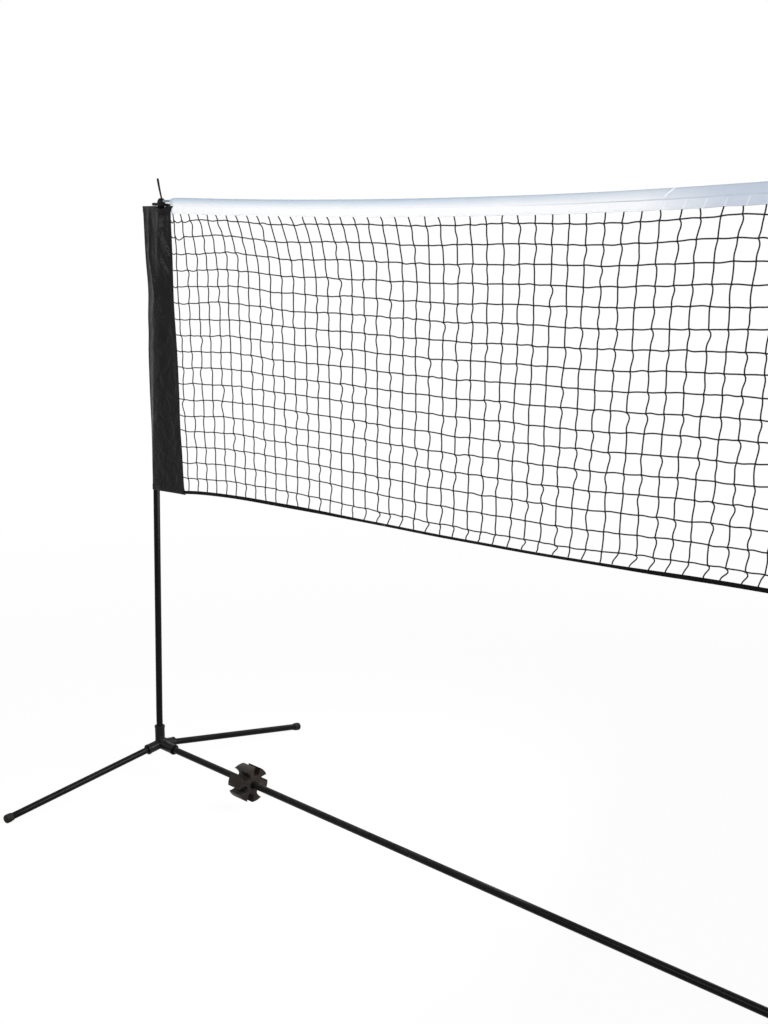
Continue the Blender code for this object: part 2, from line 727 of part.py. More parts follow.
def make_ribbon(cloth):
    reach = SPAN / 2 - SLEEVE_INNER_LOW - SEAM_GAP
    half = RIBBON_T / 2
    bm = bmesh.new()
    loops = []
    for k in range(RIBBON_STEPS + 1):
        x = lerp(-reach, reach, k / RIBBON_STEPS)
        top = ribbon_top_z(x)
        corners = [(-half, top), (half, top), (half, top - RIBBON_H), (-half, top - RIBBON_H)]
        loops.append([bm.verts.new((x, y, z)) for y, z in corners])
    for ring_a, ring_b in zip(loops, loops[1:]):
        join_rings(bm, ring_a, ring_b)
    bm.faces.new(loops[0])
    bm.faces.new(loops[-1])
    add_object("bottom_ribbon", mesh_from("bottom_ribbon", bm), cloth)


def sleeve_profile(post_at, cover_r, low, high, edge):
    """Cloth pulled flat over a round post: straight runs from both seams to an arc.

    Gives (distance, half thickness, share of fold) from the outer seam to the inner.
    """
    touch_low = cover_r**2 / (post_at - low)
    touch_high = cover_r**2 / (high - post_at)
    points = []
    for k in range(SLEEVE_LOW_RUN):
        t = k / SLEEVE_LOW_RUN
        rise = math.sqrt(cover_r**2 - touch_low**2)
        fold = math.sin(math.pi * t) ** 2
        points.append((lerp(low, post_at - touch_low, t), max(edge, rise * t), fold))
    for k in range(SLEEVE_ARC_RUN + 1):
        across = lerp(-touch_low, touch_high, k / SLEEVE_ARC_RUN)
        points.append((post_at + across, math.sqrt(cover_r**2 - across**2), 0.0))
    for k in range(1, SLEEVE_HIGH_RUN + 1):
        t = k / SLEEVE_HIGH_RUN
        rise = math.sqrt(cover_r**2 - touch_high**2)
        fold = math.sin(math.pi * t) ** 2
        distance = lerp(post_at + touch_high, high, t)
        points.append((distance, max(edge, rise * (1 - t)), fold))
    return points


def sleeve_loop(bm, side, z, cloth):
    """One level of a sleeve's outer skin (cloth 0) or inner skin (cloth above 0)."""
    low = sleeve_outer() + cloth
    high = sleeve_inner(z) - cloth
    cover_r = COVER_R - cloth
    edge = SLEEVE_EDGE / 2 - cloth
    wave = SLEEVE_FOLD * ((z - SLEEVE_LOW) / SLEEVE_LEN) ** 2
    front = []
    back = []
    for distance, half, fold in sleeve_profile(post_offset(z), cover_r, low, high, edge):
        turn = distance * SLEEVE_FOLD_TURN + z * SLEEVE_FOLD_SLANT
        ripple = wave * fold * math.sin(turn)
        x = inward_x(side, distance)
        front.append(bm.verts.new((x, -half - ripple, z)))
        back.append(bm.verts.new((x, half - ripple, z)))
    return front + back[::-1]


def make_sleeve(label, side, cloth_material):
    """Flat cloth tube, open at both ends, that the post stands in."""
    bm = bmesh.new()
    levels = [lerp(SLEEVE_LOW, SLEEVE_TOP, k / SLEEVE_STEPS) for k in range(SLEEVE_STEPS + 1)]
    outer = [sleeve_loop(bm, side, z, 0.0) for z in levels]
    inner = [sleeve_loop(bm, side, z, SLEEVE_CLOTH) for z in levels]
    skin_loops(bm, outer + inner[::-1])
    add_object(f"sleeve_{label}", mesh_from("sleeve", bm), cloth_material)


def build():
    clear_scene()
    steel = make_material("black_painted_steel", (0.022, 0.022, 0.024), 0.38, 0.2)
    moulded = make_material("black_moulded_plastic", (0.020, 0.020, 0.021), 0.55)
    rubber = make_material("black_rubber", (0.018, 0.018, 0.018), 0.7)
    clip_plastic = make_material("brown_black_plastic", (0.045, 0.040, 0.037), 0.72)
    nylon = make_material("black_nylon", (0.025, 0.025, 0.026), 0.5)
    white_cloth = make_material("white_tape_cloth", (0.86, 0.88, 0.92), 0.75)
    grey_cord = make_material("pale_grey_cord", (0.55, 0.58, 0.62), 0.8)
    twine = make_material("black_twine", (0.03, 0.026, 0.026), 0.85)
    webbing = make_material("black_webbing", (0.015, 0.015, 0.016), 0.7)
    sleeve_cloth = make_material("black_coated_cloth", (0.040, 0.040, 0.041), 0.6)

    for label, side in SIDES.items():
        make_connector(label, side, moulded)
        for depth_label, depth in (("front", -1), ("back", 1)):
            make_leg(label, side, depth_label, depth, steel, rubber)
        make_posts(label, side, steel)
        make_clip(label, side, clip_plastic)
        make_post_top(label, side, moulded, nylon)
        make_sleeve(label, side, sleeve_cloth)
    make_crossbar(steel)
    make_head_cord(grey_cord)
    make_head_tape(white_cloth)
    make_net(twine)
    make_ribbon(webbing)


build()
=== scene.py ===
"""Looks of a mini tennis net on a knock-down tube frame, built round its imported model.

Metres, +Z up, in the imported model's own frame: the net runs along +X, it is played over
along Y, and the origin is on the floor under its middle.
"""
import math

import bmesh
import bpy
import numpy as np
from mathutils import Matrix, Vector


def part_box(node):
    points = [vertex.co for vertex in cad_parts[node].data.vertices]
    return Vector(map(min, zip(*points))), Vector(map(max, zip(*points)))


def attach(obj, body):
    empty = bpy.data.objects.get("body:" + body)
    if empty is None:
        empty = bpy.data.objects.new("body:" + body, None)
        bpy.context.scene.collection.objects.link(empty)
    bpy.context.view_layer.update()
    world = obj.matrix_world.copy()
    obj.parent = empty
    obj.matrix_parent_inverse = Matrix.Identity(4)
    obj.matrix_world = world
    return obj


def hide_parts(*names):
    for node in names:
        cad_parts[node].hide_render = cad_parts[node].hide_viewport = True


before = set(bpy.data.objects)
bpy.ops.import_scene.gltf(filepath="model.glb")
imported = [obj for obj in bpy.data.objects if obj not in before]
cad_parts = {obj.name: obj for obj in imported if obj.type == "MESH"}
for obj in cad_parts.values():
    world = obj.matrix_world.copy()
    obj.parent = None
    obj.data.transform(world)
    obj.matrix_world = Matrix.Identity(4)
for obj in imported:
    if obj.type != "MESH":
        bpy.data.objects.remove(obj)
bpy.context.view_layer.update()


# The view: a camera at eye height beyond the right-hand part of the net, which looks back
# along it to the left post. Its place and focal length were solved from the net's own lines.
EYE = (1.50857, -2.04396, 1.43534)
EYE_YAW = math.radians(45.654)
EYE_PITCH = math.radians(10.746)
FOCAL_PIXELS = 1315
LONG_SIDE_PIXELS = 1024

camera = bpy.data.cameras.new("view")
camera.sensor_width = 36.0
camera.lens = FOCAL_PIXELS * camera.sensor_width / LONG_SIDE_PIXELS
viewer = bpy.data.objects.new("view", camera)
viewer.location = EYE
viewer.rotation_euler = (math.pi / 2 - EYE_PITCH, 0.0, EYE_YAW)
bpy.context.scene.collection.objects.link(viewer)
bpy.context.scene.camera = viewer
bpy.context.scene.view_settings.view_transform = "Standard"


# The studio: a pale floor and a white surround, lit evenly by the surround and by four soft
# boxes. Rays from the camera and mirror rays see the surround as plain white.
WHITE = (1.0, 1.0, 1.0)
SURROUND_LIGHT = 0.34
FLOOR_RADIUS = 40.0
FLOOR_TONE = (0.88, 0.88, 0.88)
FLOOR_SHADE = 0.05       # share of the floor's own shading that the camera sees near the net
FLOOR_FADE = (2.2, 5.0)  # distances from the middle between which that share goes
SOFT_BOXES = {           # place, what it points at, width and height, watts
    "key": ((-0.7, -2.6, 2.2), (-0.7, 0.0, 1.2), (2.4, 1.0), 60.0),
    "fill": ((4.2, -3.2, 2.4), (0.0, 0.0, 0.8), (2.4, 2.4), 8.0),
    "back": ((-1.2, 4.8, 3.2), (-0.6, 0.0, 0.8), (3.2, 2.0), 50.0),
    "low": ((-0.58, 0.25, 0.64), (-1.5, -0.25, 0.05), (0.8, 0.5), 17.0),
}


def feed(tree, socket, value):
    """Give an input another node's output, a plain value, or a colour of three parts."""
    if isinstance(value, bpy.types.NodeSocket):
        tree.links.new(value, socket)
    else:
        socket.default_value = (*value, 1.0) if socket.type == "RGBA" else value


def shade(tree, kind, inputs=(), **settings):
    """Add a shader node with its properties and inputs, and return its outputs."""
    made = tree.nodes.new(kind)
    for name, value in settings.items():
        setattr(made, name, value)
    for name, value in dict(inputs).items():
        feed(tree, made.inputs[name], value)
    return made.outputs


def sum_of(tree, operation, *values, clamp=False):
    """Output of a Math node that works on one, two or three values."""
    return shade(tree, "ShaderNodeMath", enumerate(values), operation=operation, use_clamp=clamp)[0]


def between(tree, value, low, high, start, end):
    """A value that runs from start to end is taken to run from low to high."""
    return shade(tree, "ShaderNodeMapRange", {
        "Value": value, "From Min": start, "From Max": end, "To Min": low, "To Max": high})[0]


def seen_directly(tree):
    """1 for rays from the camera, and for mirror and see-through rays; 0 for all others."""
    rays = shade(tree, "ShaderNodeLightPath")
    first = sum_of(tree, "MAXIMUM", rays["Is Camera Ray"], rays["Is Glossy Ray"])
    return sum_of(tree, "MAXIMUM", first, rays["Is Transmission Ray"])


surround = bpy.data.worlds.new("surround")
bpy.context.scene.world = surround
surround.use_nodes = True
sky = surround.node_tree
sky.nodes.clear()
strength = sum_of(
    sky, "MULTIPLY_ADD", seen_directly(sky), 1.0 - SURROUND_LIGHT, SURROUND_LIGHT
)
white = shade(sky, "ShaderNodeBackground", {"Color": WHITE, "Strength": strength})
shade(sky, "ShaderNodeOutputWorld", {"Surface": white[0]})

bpy.ops.mesh.primitive_circle_add(vertices=96, radius=FLOOR_RADIUS, fill_type="NGON")
floor = bpy.context.object
floor.name = "studio_floor"
floor_paint = bpy.data.materials.new("studio_floor")
floor_paint.use_nodes = True
tree = floor_paint.node_tree
tree.nodes.clear()
place = shade(tree, "ShaderNodeTexCoord")["Object"]
away = shade(tree, "ShaderNodeVectorMath", {0: place}, operation="LENGTH")["Value"]
far = between(tree, away, 0.0, 1.0, *FLOOR_FADE)
shown = sum_of(tree, "MULTIPLY_ADD", far, FLOOR_SHADE, 1.0 - FLOOR_SHADE)
glow = sum_of(tree, "MULTIPLY", seen_directly(tree), shown)
matt = shade(tree, "ShaderNodeBsdfDiffuse", {"Color": FLOOR_TONE})
bright = shade(tree, "ShaderNodeEmission", {"Color": WHITE, "Strength": 1.0})
mixed = shade(tree, "ShaderNodeMixShader", {0: glow, 1: matt[0], 2: bright[0]})
shade(tree, "ShaderNodeOutputMaterial", {"Surface": mixed[0]})
floor.data.materials.append(floor_paint)

for name, (spot, target, (width, height), watts) in SOFT_BOXES.items():
    lamp = bpy.data.lights.new(name, "AREA")
    lamp.shape = "RECTANGLE"
    lamp.size = width
    lamp.size_y = height
    lamp.energy = watts
    holder = bpy.data.objects.new(name, lamp)
    holder.visible_camera = False
    holder.location = spot
    aim = np.subtract(target, spot)
    flat = math.hypot(aim[0], aim[1])
    holder.rotation_euler = (math.atan2(flat, -aim[2]), 0.0, math.atan2(-aim[0], aim[1]))
    bpy.context.scene.collection.objects.link(holder)


# Corner connectors: one nylon moulding each, with a socket for the post, one for the crossbar
# and two for the legs, a collar on each mouth and soft webs where the sockets meet.
SPAN = 3.0               # between the two connectors' centres
TUBE_R = 0.009
BORE_R = 0.0096
SOCKET_R = 0.0138
SOCKET_FLOOR = 0.0135
SOCKET_EDGE = 0.0009
COLLAR_LIP = 0.001
COLLAR_LEN = 0.007
SOCKET_REACH = {"post": 0.055, "bar": 0.070, "front": 0.0465, "back": 0.0465}
LEG_PLAN = math.radians(87.5)
LEG_SLOPE = math.radians(7.95)
ROUND_SIDES = 48
HUB_BALL = 0.0156
GUSSET_R = 0.0112        # of the swelling between the post's and the crossbar's sockets
GUSSET_OUT = 0.0128      # how far it lies from the centre along each of the two
MOULD_VOXEL = 0.0007
WEB_REACH = 0.034        # how far from the connector's centre the webs run
WEB_GAIN = 2.2           # how fast they come to their full softness towards it
WEB_ROUNDS = 40          # of smoothing, for the webs and then for the whole skin
SKIN_ROUNDS = 3
SIDES = {"left": -1.0, "right": 1.0}
bar_low, bar_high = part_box("crossbar_tube_middle")
HUB_Z = (bar_low.z + bar_high.z) / 2
WELD = 1e-6
SHARP = math.radians(38)
NOISE_SPREAD = (0.3, 0.7)            # between which nearly all of a soft noise lies
DUST_TONE = (0.20, 0.19, 0.175)


def unit(vector):
    """Vector or vectors brought to a length of 1."""
    return vector / np.linalg.norm(vector, axis=-1, keepdims=True)


def frame_at(origin, along, reference=(0.0, 1.0, 0.0)):
    """4x4 place whose Z runs along a direction and whose X leans towards the reference."""
    z_axis = unit(along)
    x_axis = unit(reference - z_axis * np.dot(reference, z_axis))
    made = np.eye(4)
    made[:3, :4] = np.stack([x_axis, np.cross(z_axis, x_axis), z_axis, origin], axis=1)
    return made


def moved(points, matrix):
    """Points, in any array whose last axis is 3 long, taken to a place."""
    return points @ matrix[:3, :3].T + matrix[:3, 3]


def joined(*parts):
    """Arrays and plain numbers side by side, as the last axis of one array."""
    return np.stack(np.broadcast_arrays(*parts), axis=-1)


def full_turn(sides):
    """Angles once round in even steps, with the first place again at the end."""
    return np.linspace(0.0, 2 * math.pi, sides + 1)


def run_along(line):
    """How far along a line of points each of them lies."""
    steps = np.linalg.norm(np.diff(line, axis=-2), axis=-1)
    return np.concatenate([0.0 * steps[..., :1], np.cumsum(steps, axis=-1)], axis=-1)


def rounded(outline, radius, steps=4, closed=False):
    """Outline with soft corners: each becomes a parabola that starts and ends a radius away."""
    corner = np.asarray(outline, float)
    ends = []
    for step in (1, -1):
        run = np.roll(corner, step, axis=0) - corner
        length = np.maximum(np.linalg.norm(run, axis=1, keepdims=True), 1e-9)
        ends.append(corner + run / length * np.minimum(radius, length / 2))
    t = np.linspace(0.0, 1.0, steps)[None, :, None]
    start, finish = ends[0][:, None], ends[1][:, None]
    soft = (1 - t) ** 2 * start + 2 * t * (1 - t) * corner[:, None] + t**2 * finish
    if closed:
        return soft.reshape(-1, 2)
    return np.concatenate([corner[:1], soft[1:-1].reshape(-1, 2), corner[-1:]])


def turned(outline, matrix, sides=ROUND_SIDES):
    """Grid of a turned shape: radius and height of the outline, once round the place's Z.

    Its map has the way round and the way along the outline, both in metres.
    """
    outline = np.asarray(outline, float)
    turn = full_turn(sides)
    radius, height = outline[:, :1], outline[:, 1:]
    ring = joined(radius * np.cos(turn), radius * np.sin(turn), height)
    way = joined(turn * radius.max(), run_along(outline)[:, None])
    return moved(ring, matrix), way


def shape_of(name, *grids, face_out=True):
    """Object made of grids of points, each with its map, which are closed where they meet.

    A grid is (..., rows, columns, 3); axes before the last three repeat it.
    """
    points, ways, faces = [], [], []
    count = 0
    for grid, way in grids:
        rows, columns = grid.shape[-3:-1]
        corner = np.arange(rows * columns).reshape(rows, columns)
        quads = np.stack(
            [corner[:-1, :-1], corner[:-1, 1:], corner[1:, 1:], corner[1:, :-1]], axis=-1
        ).reshape(-1, 4)
        points.append(grid.reshape(-1, 3))
        ways.append(np.broadcast_to(way, grid.shape[:-1] + (2,)).reshape(-1, 2))
        start = count + np.arange(0, len(points[-1]), rows * columns)
        faces.append((quads + start[:, None, None]).reshape(-1, 4))
        count += len(points[-1])
    points, ways, faces = np.concatenate(points), np.concatenate(ways), np.concatenate(faces)
    mesh = bpy.data.meshes.new(name)
    mesh.vertices.add(len(points))
    mesh.vertices.foreach_set("co", points.astype(np.float32).ravel())
    mesh.loops.add(faces.size)
    mesh.loops.foreach_set("vertex_index", faces.astype(np.int32).ravel())
    mesh.polygons.add(len(faces))
    mesh.polygons.foreach_set("loop_start", np.arange(0, faces.size, 4, dtype=np.int32))
    mesh.update(calc_edges=True)
    layer = mesh.uv_layers.new(name="way")
    layer.data.foreach_set("uv", ways[faces.ravel()].astype(np.float32).ravel())
    shell = bmesh.new()
    shell.from_mesh(mesh)
    bmesh.ops.remove_doubles(shell, verts=shell.verts, dist=WELD)
    if face_out:
        bmesh.ops.recalc_face_normals(shell, faces=shell.faces)
    shell.to_mesh(mesh)
    shell.free()
    smooth_skin(mesh)
    made = bpy.data.objects.new(name, mesh)
    bpy.context.scene.collection.objects.link(made)
    return made


def smooth_skin(mesh):
    """Shade a mesh smooth, but for its sharp edges."""
    mesh.shade_smooth()
    mesh.set_sharp_from_angle(angle=SHARP)


def modify(made, kind, **settings):
    """Give an object a modifier."""
    modifier = made.modifiers.new(kind.lower(), kind)
    for name, value in settings.items():
        setattr(modifier, name, value)


def settle(made):
    """Work the object's modifiers into its mesh."""
    graph = bpy.context.evaluated_depsgraph_get()
    mesh = bpy.data.meshes.new_from_object(made.evaluated_get(graph), depsgraph=graph)
    made.modifiers.clear()
    made.data = mesh


def add_piece(made, material, body, slot, *nodes):
    """Give a finished piece its material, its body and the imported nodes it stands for."""
    made.data.materials.clear()
    made.data.materials.append(material)
    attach(made, body)
    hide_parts(*nodes)
    return made


def noise(tree, place, scale, detail, roughness=0.5, distortion=0.0):
    """Soft noise round a half; its scale is in waves to the metre."""
    return shade(tree, "ShaderNodeTexNoise", {
        "Vector": place, "Scale": scale, "Detail": detail, "Roughness": roughness,
        "Distortion": distortion})["Fac"]


def product(tree, first, *others):
    """Output of all the values multiplied together."""
    for value in others:
        first = sum_of(tree, "MULTIPLY", first, value)
    return first


def start_effect(name, **takes):
    """New node group whose inputs are a place, and numbers with their usual values."""
    group = bpy.data.node_groups.new(name, "ShaderNodeTree")
    group.interface.new_socket("Place", in_out="INPUT", socket_type="NodeSocketVector")
    for label, value in takes.items():
        socket = group.interface.new_socket(label, in_out="INPUT", socket_type="NodeSocketFloat")
        socket.default_value = value
    return group, group.nodes.new("NodeGroupInput").outputs


def end_effect(group, **gives):
    """The group with its outputs, which are numbers that change over the surface."""
    for label in gives:
        group.interface.new_socket(label, in_out="OUTPUT", socket_type="NodeSocketFloat")
    shade(group, "NodeGroupOutput", gives)
    return group


def grain_effect():
    """Moulded or painted skin: fine pits for height, and slow cloudy patches."""
    group, given = start_effect("skin_grain", Pits=0.001, Clouds=0.05)
    fine = sum_of(group, "DIVIDE", 1.0, given["Pits"])
    slow = sum_of(group, "DIVIDE", 1.0, given["Clouds"])
    pits = noise(group, given["Place"], fine, 3.0, roughness=0.6)
    clouds = noise(group, given["Place"], slow, 2.0)
    return end_effect(group, Height=pits, Cloud=clouds)


def dust_effect():
    """Pale dust that has settled on what faces up, thickest near the floor."""
    group, given = start_effect("settled_dust", Amount=0.5, Reach=0.6)
    normal = shade(group, "ShaderNodeNewGeometry")["Normal"]
    up = shade(group, "ShaderNodeSeparateXYZ", {0: normal})["Z"]
    height = shade(group, "ShaderNodeSeparateXYZ", {0: given["Place"]})["Z"]
    low = between(group, height, 1.0, 0.15, 0.0, given["Reach"])
    facing = between(group, up, 0.0, 1.0, 0.2, 1.0)
    blotch = noise(group, given["Place"], 55.0, 5.0, roughness=0.7)
    spread = between(group, blotch, 0.0, 1.0, 0.38, 0.72)
    part = product(group, low, facing, spread)
    return end_effect(group, Dust=sum_of(group, "MULTIPLY", part, given["Amount"], clamp=True))


SKIN_GRAIN = grain_effect()
SETTLED_DUST = dust_effect()


def skin_and_dust(tree, place, dust, **grain):
    """Both effects placed in a material: the grain's outputs, and the dust's share."""
    skin = shade(tree, "ShaderNodeGroup", {"Place": place, **grain}, node_tree=SKIN_GRAIN)
    settled = shade(
        tree, "ShaderNodeGroup", {"Place": place, "Amount": dust}, node_tree=SETTLED_DUST
    )
    return skin, settled["Dust"]


def blended(tree, share, first, second):
    """Colour between two, by a share from 0 to 1."""
    made = tree.nodes.new("ShaderNodeMix")
    made.data_type = "RGBA"
    feed(tree, made.inputs["Factor"], share)
    sockets = [socket for socket in made.inputs if socket.type == "RGBA"]
    for socket, colour in zip(sockets, (first, second)):
        feed(tree, socket, colour)
    return next(socket for socket in made.outputs if socket.type == "RGBA")


def start_finish(name):
    """New material, its node tree, and the object's own coordinates."""
    material = bpy.data.materials.new(name)
    material.use_nodes = True
    tree = material.node_tree
    return material, tree, shade(tree, "ShaderNodeTexCoord")["Object"]


def end_finish(material, tone, rough, bumps, specular, sheen=0.0):
    """Feed the surface shader. Each bump is a height, a strength and a depth, coarse to fine."""
    tree = material.node_tree
    surface = tree.nodes["Principled BSDF"].inputs
    surface["Specular IOR Level"].default_value = specular
    surface["Sheen Weight"].default_value = sheen
    feed(tree, surface["Base Color"], tone)
    feed(tree, surface["Roughness"], rough)
    normal = {}
    for height, amount, depth in bumps:
        wanted = {"Height": height, "Strength": amount, "Distance": depth, **normal}
        normal = {"Normal": shade(tree, "ShaderNodeBump", wanted)[0]}
    feed(tree, surface["Normal"], normal["Normal"])
    return material


def moulded_finish(name, colour, worn, roughness, pits, pit_depth, dust, specular):
    """Moulded skin: pits, a cloudy tone and settled dust."""
    material, tree, place = start_finish(name)
    skin, settled = skin_and_dust(tree, place, dust, Pits=pits)
    tone = blended(tree, between(tree, skin["Cloud"], 0.0, 1.0, *NOISE_SPREAD), colour, worn)
    tone = blended(tree, settled, tone, DUST_TONE)
    rough = between(tree, skin["Height"], roughness - 0.08, roughness + 0.1, *NOISE_SPREAD)
    rough = sum_of(tree, "ADD", rough, settled, clamp=True)
    return end_finish(material, tone, rough, [(skin["Height"], 0.5, pit_depth)], specular)


def leg_direction(side, depth):
    """Unit vector down a leg; depth is -1 for the front leg and 1 for the back one."""
    level = math.cos(LEG_SLOPE)
    plan = (-side * math.cos(LEG_PLAN) * level, depth * math.sin(LEG_PLAN) * level)
    return np.array([*plan, -math.sin(LEG_SLOPE)])


def socket_place(side, arm):
    """Place at a connector's centre with its Z along one of its sockets."""
    directions = {
        "post": (0.0, 0.0, 1.0),
        "bar": (-side, 0.0, 0.0),
        "front": leg_direction(side, -1),
        "back": leg_direction(side, 1),
    }
    reference = (0.0, 1.0, 0.0) if arm == "post" else (0.0, 0.0, 1.0)
    return frame_at((side * SPAN / 2, 0.0, HUB_Z), directions[arm], reference)


def socket_outline(reach):
    """Solid core, wall, collar and bore of one socket, as radius and height."""
    collar = SOCKET_R + COLLAR_LIP
    wall = [
        (0.0, 0.0), (SOCKET_R, 0.0), (SOCKET_R, reach - COLLAR_LEN),
        (collar, reach - COLLAR_LEN + COLLAR_LIP), (collar, reach), (BORE_R, reach),
        (BORE_R, SOCKET_FLOOR), (0.0, SOCKET_FLOOR),
    ]
    return rounded(wall, SOCKET_EDGE)


def connector_piece(name, side):
    """Sockets, a ball and a gusset, drawn together by a fine remesh and eased where they meet."""
    grids = [
        turned(socket_outline(reach), socket_place(side, arm))
        for arm, reach in SOCKET_REACH.items()
    ]
    turn = np.linspace(0.0, math.pi, 25)
    ball = joined(HUB_BALL * np.sin(turn), -HUB_BALL * np.cos(turn))
    grids.append(turned(ball, socket_place(side, "post")))
    gusset = socket_place(side, "post")
    gusset[:3, 3] += GUSSET_OUT * np.array([-side, 0.0, 1.0])
    grids.append(turned(ball * GUSSET_R / HUB_BALL, gusset))
    made = shape_of(name, *grids)
    modify(made, "REMESH", mode="VOXEL", voxel_size=MOULD_VOXEL)
    settle(made)
    points = np.empty(len(made.data.vertices) * 3, np.float32)
    made.data.vertices.foreach_get("co", points)
    away = np.linalg.norm(points.reshape(-1, 3) - (side * SPAN / 2, 0.0, HUB_Z), axis=1)
    softness = np.clip(np.round(WEB_GAIN * (1 - away / WEB_REACH), 1), 0.0, 1.0)
    webs = made.vertex_groups.new(name="webs")
    for level in np.unique(softness[softness > 0.0]):
        webs.add(np.nonzero(softness == level)[0].tolist(), float(level), "REPLACE")
    modify(made, "SMOOTH", factor=0.5, iterations=WEB_ROUNDS, vertex_group="webs")
    modify(made, "SMOOTH", factor=0.5, iterations=SKIN_ROUNDS)
    settle(made)
    made.data.shade_smooth()
    made.vertex_groups.clear()
    return made


black_nylon = moulded_finish(
    "black_moulded_nylon", (0.0035, 0.0034, 0.0036), (0.0065, 0.006, 0.006), 0.36,
    pits=0.0011, pit_depth=0.00010, dust=0.04, specular=0.09,
)
for label, side in SIDES.items():
    connector = connector_piece(f"corner_{label}", side)
    add_piece(connector, black_nylon, "root", "moulded_plastic", f"connector_{label}")


# Crossbar: three steel tubes in a line under satin black paint. Two have a necked end that
# slides into the next tube, and the outer ends stand in the connectors' sockets.
TUBE_WALL = 0.001
TUBE_EDGE = 0.0004
NECK_TAPER = 0.012
GAP = 0.0003             # between pieces that rest on each other or go into one another
SPIGOT_R = TUBE_R - TUBE_WALL - GAP
SPIGOT_LEN = 0.050
STRAIGHT_RINGS = 20      # to the metre along a straight tube


def cut_up(outline, rings):
    """Outline whose stretches are cut into even steps, at so many rings to the metre."""
    steps = np.linalg.norm(np.diff(outline, axis=0), axis=1)
    cuts = [
        np.linspace(a, b, max(2, int(step * rings) + 1))[:-1]
        for a, b, step in zip(outline[:-1], outline[1:], steps)
    ]
    return np.concatenate(cuts + [outline[-1:]])


def tube_outline(start, end, shoulder=None):
    """Wall of a tube, closed on itself; past its shoulder it is necked to a spigot."""
    inner = TUBE_R - TUBE_WALL
    if shoulder is None:
        wall = [(inner, start), (TUBE_R, start), (TUBE_R, end), (inner, end)]
    else:
        neck = SPIGOT_R - TUBE_WALL
        wall = [
            (inner, start), (TUBE_R, start), (TUBE_R, shoulder), (SPIGOT_R, shoulder),
            (SPIGOT_R, end), (neck, end), (neck, shoulder), (inner, shoulder - NECK_TAPER),
        ]
    soft = rounded(wall, TUBE_EDGE, steps=3, closed=True)
    return cut_up(np.concatenate([soft, soft[:1]]), STRAIGHT_RINGS)


def own_map(tree):
    """The piece's own map: metres across and along its surface."""
    return shade(tree, "ShaderNodeUVMap", uv_map="way")[0]


def painted_finish():
    """Satin black paint: orange-peel skin, lengthwise rub marks and settled dust."""
    material, tree, place = start_finish("satin_black_paint")
    skin, settled = skin_and_dust(tree, place, 0.05, Pits=0.0016, Clouds=0.09)
    drawn = shade(tree, "ShaderNodeMapping", {"Vector": own_map(tree), "Scale": (900.0, 14.0, 1.0)})
    rubbed = between(tree, noise(tree, drawn[0], 1.0, 3.0, roughness=0.65), 0.0, 1.0, 0.62, 0.78)
    cloud = between(tree, skin["Cloud"], 0.0, 1.0, *NOISE_SPREAD)
    tone = blended(tree, cloud, (0.0018, 0.0017, 0.0018), (0.0032, 0.0030, 0.0029))
    tone = blended(tree, product(tree, rubbed, 0.4), tone, (0.014, 0.0135, 0.013))
    tone = blended(tree, settled, tone, DUST_TONE)
    rough = between(tree, skin["Cloud"], 0.25, 0.34, *NOISE_SPREAD)
    rough = sum_of(tree, "MULTIPLY_ADD", rubbed, 0.16, rough)
    rough = sum_of(tree, "ADD", rough, settled, clamp=True)
    return end_finish(material, tone, rough, [(skin["Height"], 0.35, 0.00006)], specular=0.06)


satin_paint = painted_finish()
bar_place = frame_at((0.0, 0.0, HUB_Z), (1.0, 0.0, 0.0))
for label in ("left", "middle", "right"):
    node = f"crossbar_tube_{label}"
    low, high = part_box(node)
    shoulder = None if label == "right" else high.x - SPIGOT_LEN
    bar = shape_of(f"crossbar_{label}", turned(tube_outline(low.x, high.x, shoulder), bar_place))
    add_piece(bar, satin_paint, "root", "tube_steel", node)


# Legs: four painted tubes that slope down from the connectors, each pushed into a soft rubber
# cap with a rounded end. The caps are worn flat where they stand on the floor.
LEG_REACH = 0.5095
TUBE_SEAT = 0.0138
FOOT_END = 0.009
FOOT_GRIP = 0.013
FOOT_R = 0.0116
FOOT_ROUND = 0.006
FOOT_BORE = 0.0093
FOOT_MOUTH_R = 0.0105
FOOT_FLARE = 0.009       # length over which the cap widens from its mouth
FOOT_LIP = 0.001         # height of the mouth's straight rim
FOOT_EDGE = 0.0006
LEG_END = LEG_REACH - FOOT_END - GAP


def eased(share):
    """A share from 0 to 1 that starts and ends softly."""
    return share**2 * (3 - 2 * share)


def foot_outline():
    """Cap: a thin mouth that widens in a soft flare, a rounded end and the bore."""
    mouth = LEG_END - FOOT_GRIP
    share = np.linspace(0.0, 1.0, 7)
    flare = joined(
        FOOT_MOUTH_R + (FOOT_R - FOOT_MOUTH_R) * eased(share), mouth + FOOT_LIP + FOOT_FLARE * share
    )
    turn = np.linspace(0.0, math.pi / 2, 9)
    end = joined(
        FOOT_R - FOOT_ROUND * (1 - np.cos(turn)), LEG_REACH - FOOT_ROUND * (1 - np.sin(turn))
    )
    floor_z = LEG_REACH - FOOT_END
    bore = [(0.0, LEG_REACH), (0.0, floor_z), (FOOT_BORE, floor_z), (FOOT_BORE, mouth)]
    lip = [(FOOT_BORE, mouth), (FOOT_MOUTH_R, mouth), tuple(flare[0])]
    lip, bore = rounded(lip, FOOT_EDGE, 3), rounded(bore, FOOT_EDGE, 3)
    return np.concatenate([lip[:-1], flare, end, bore])


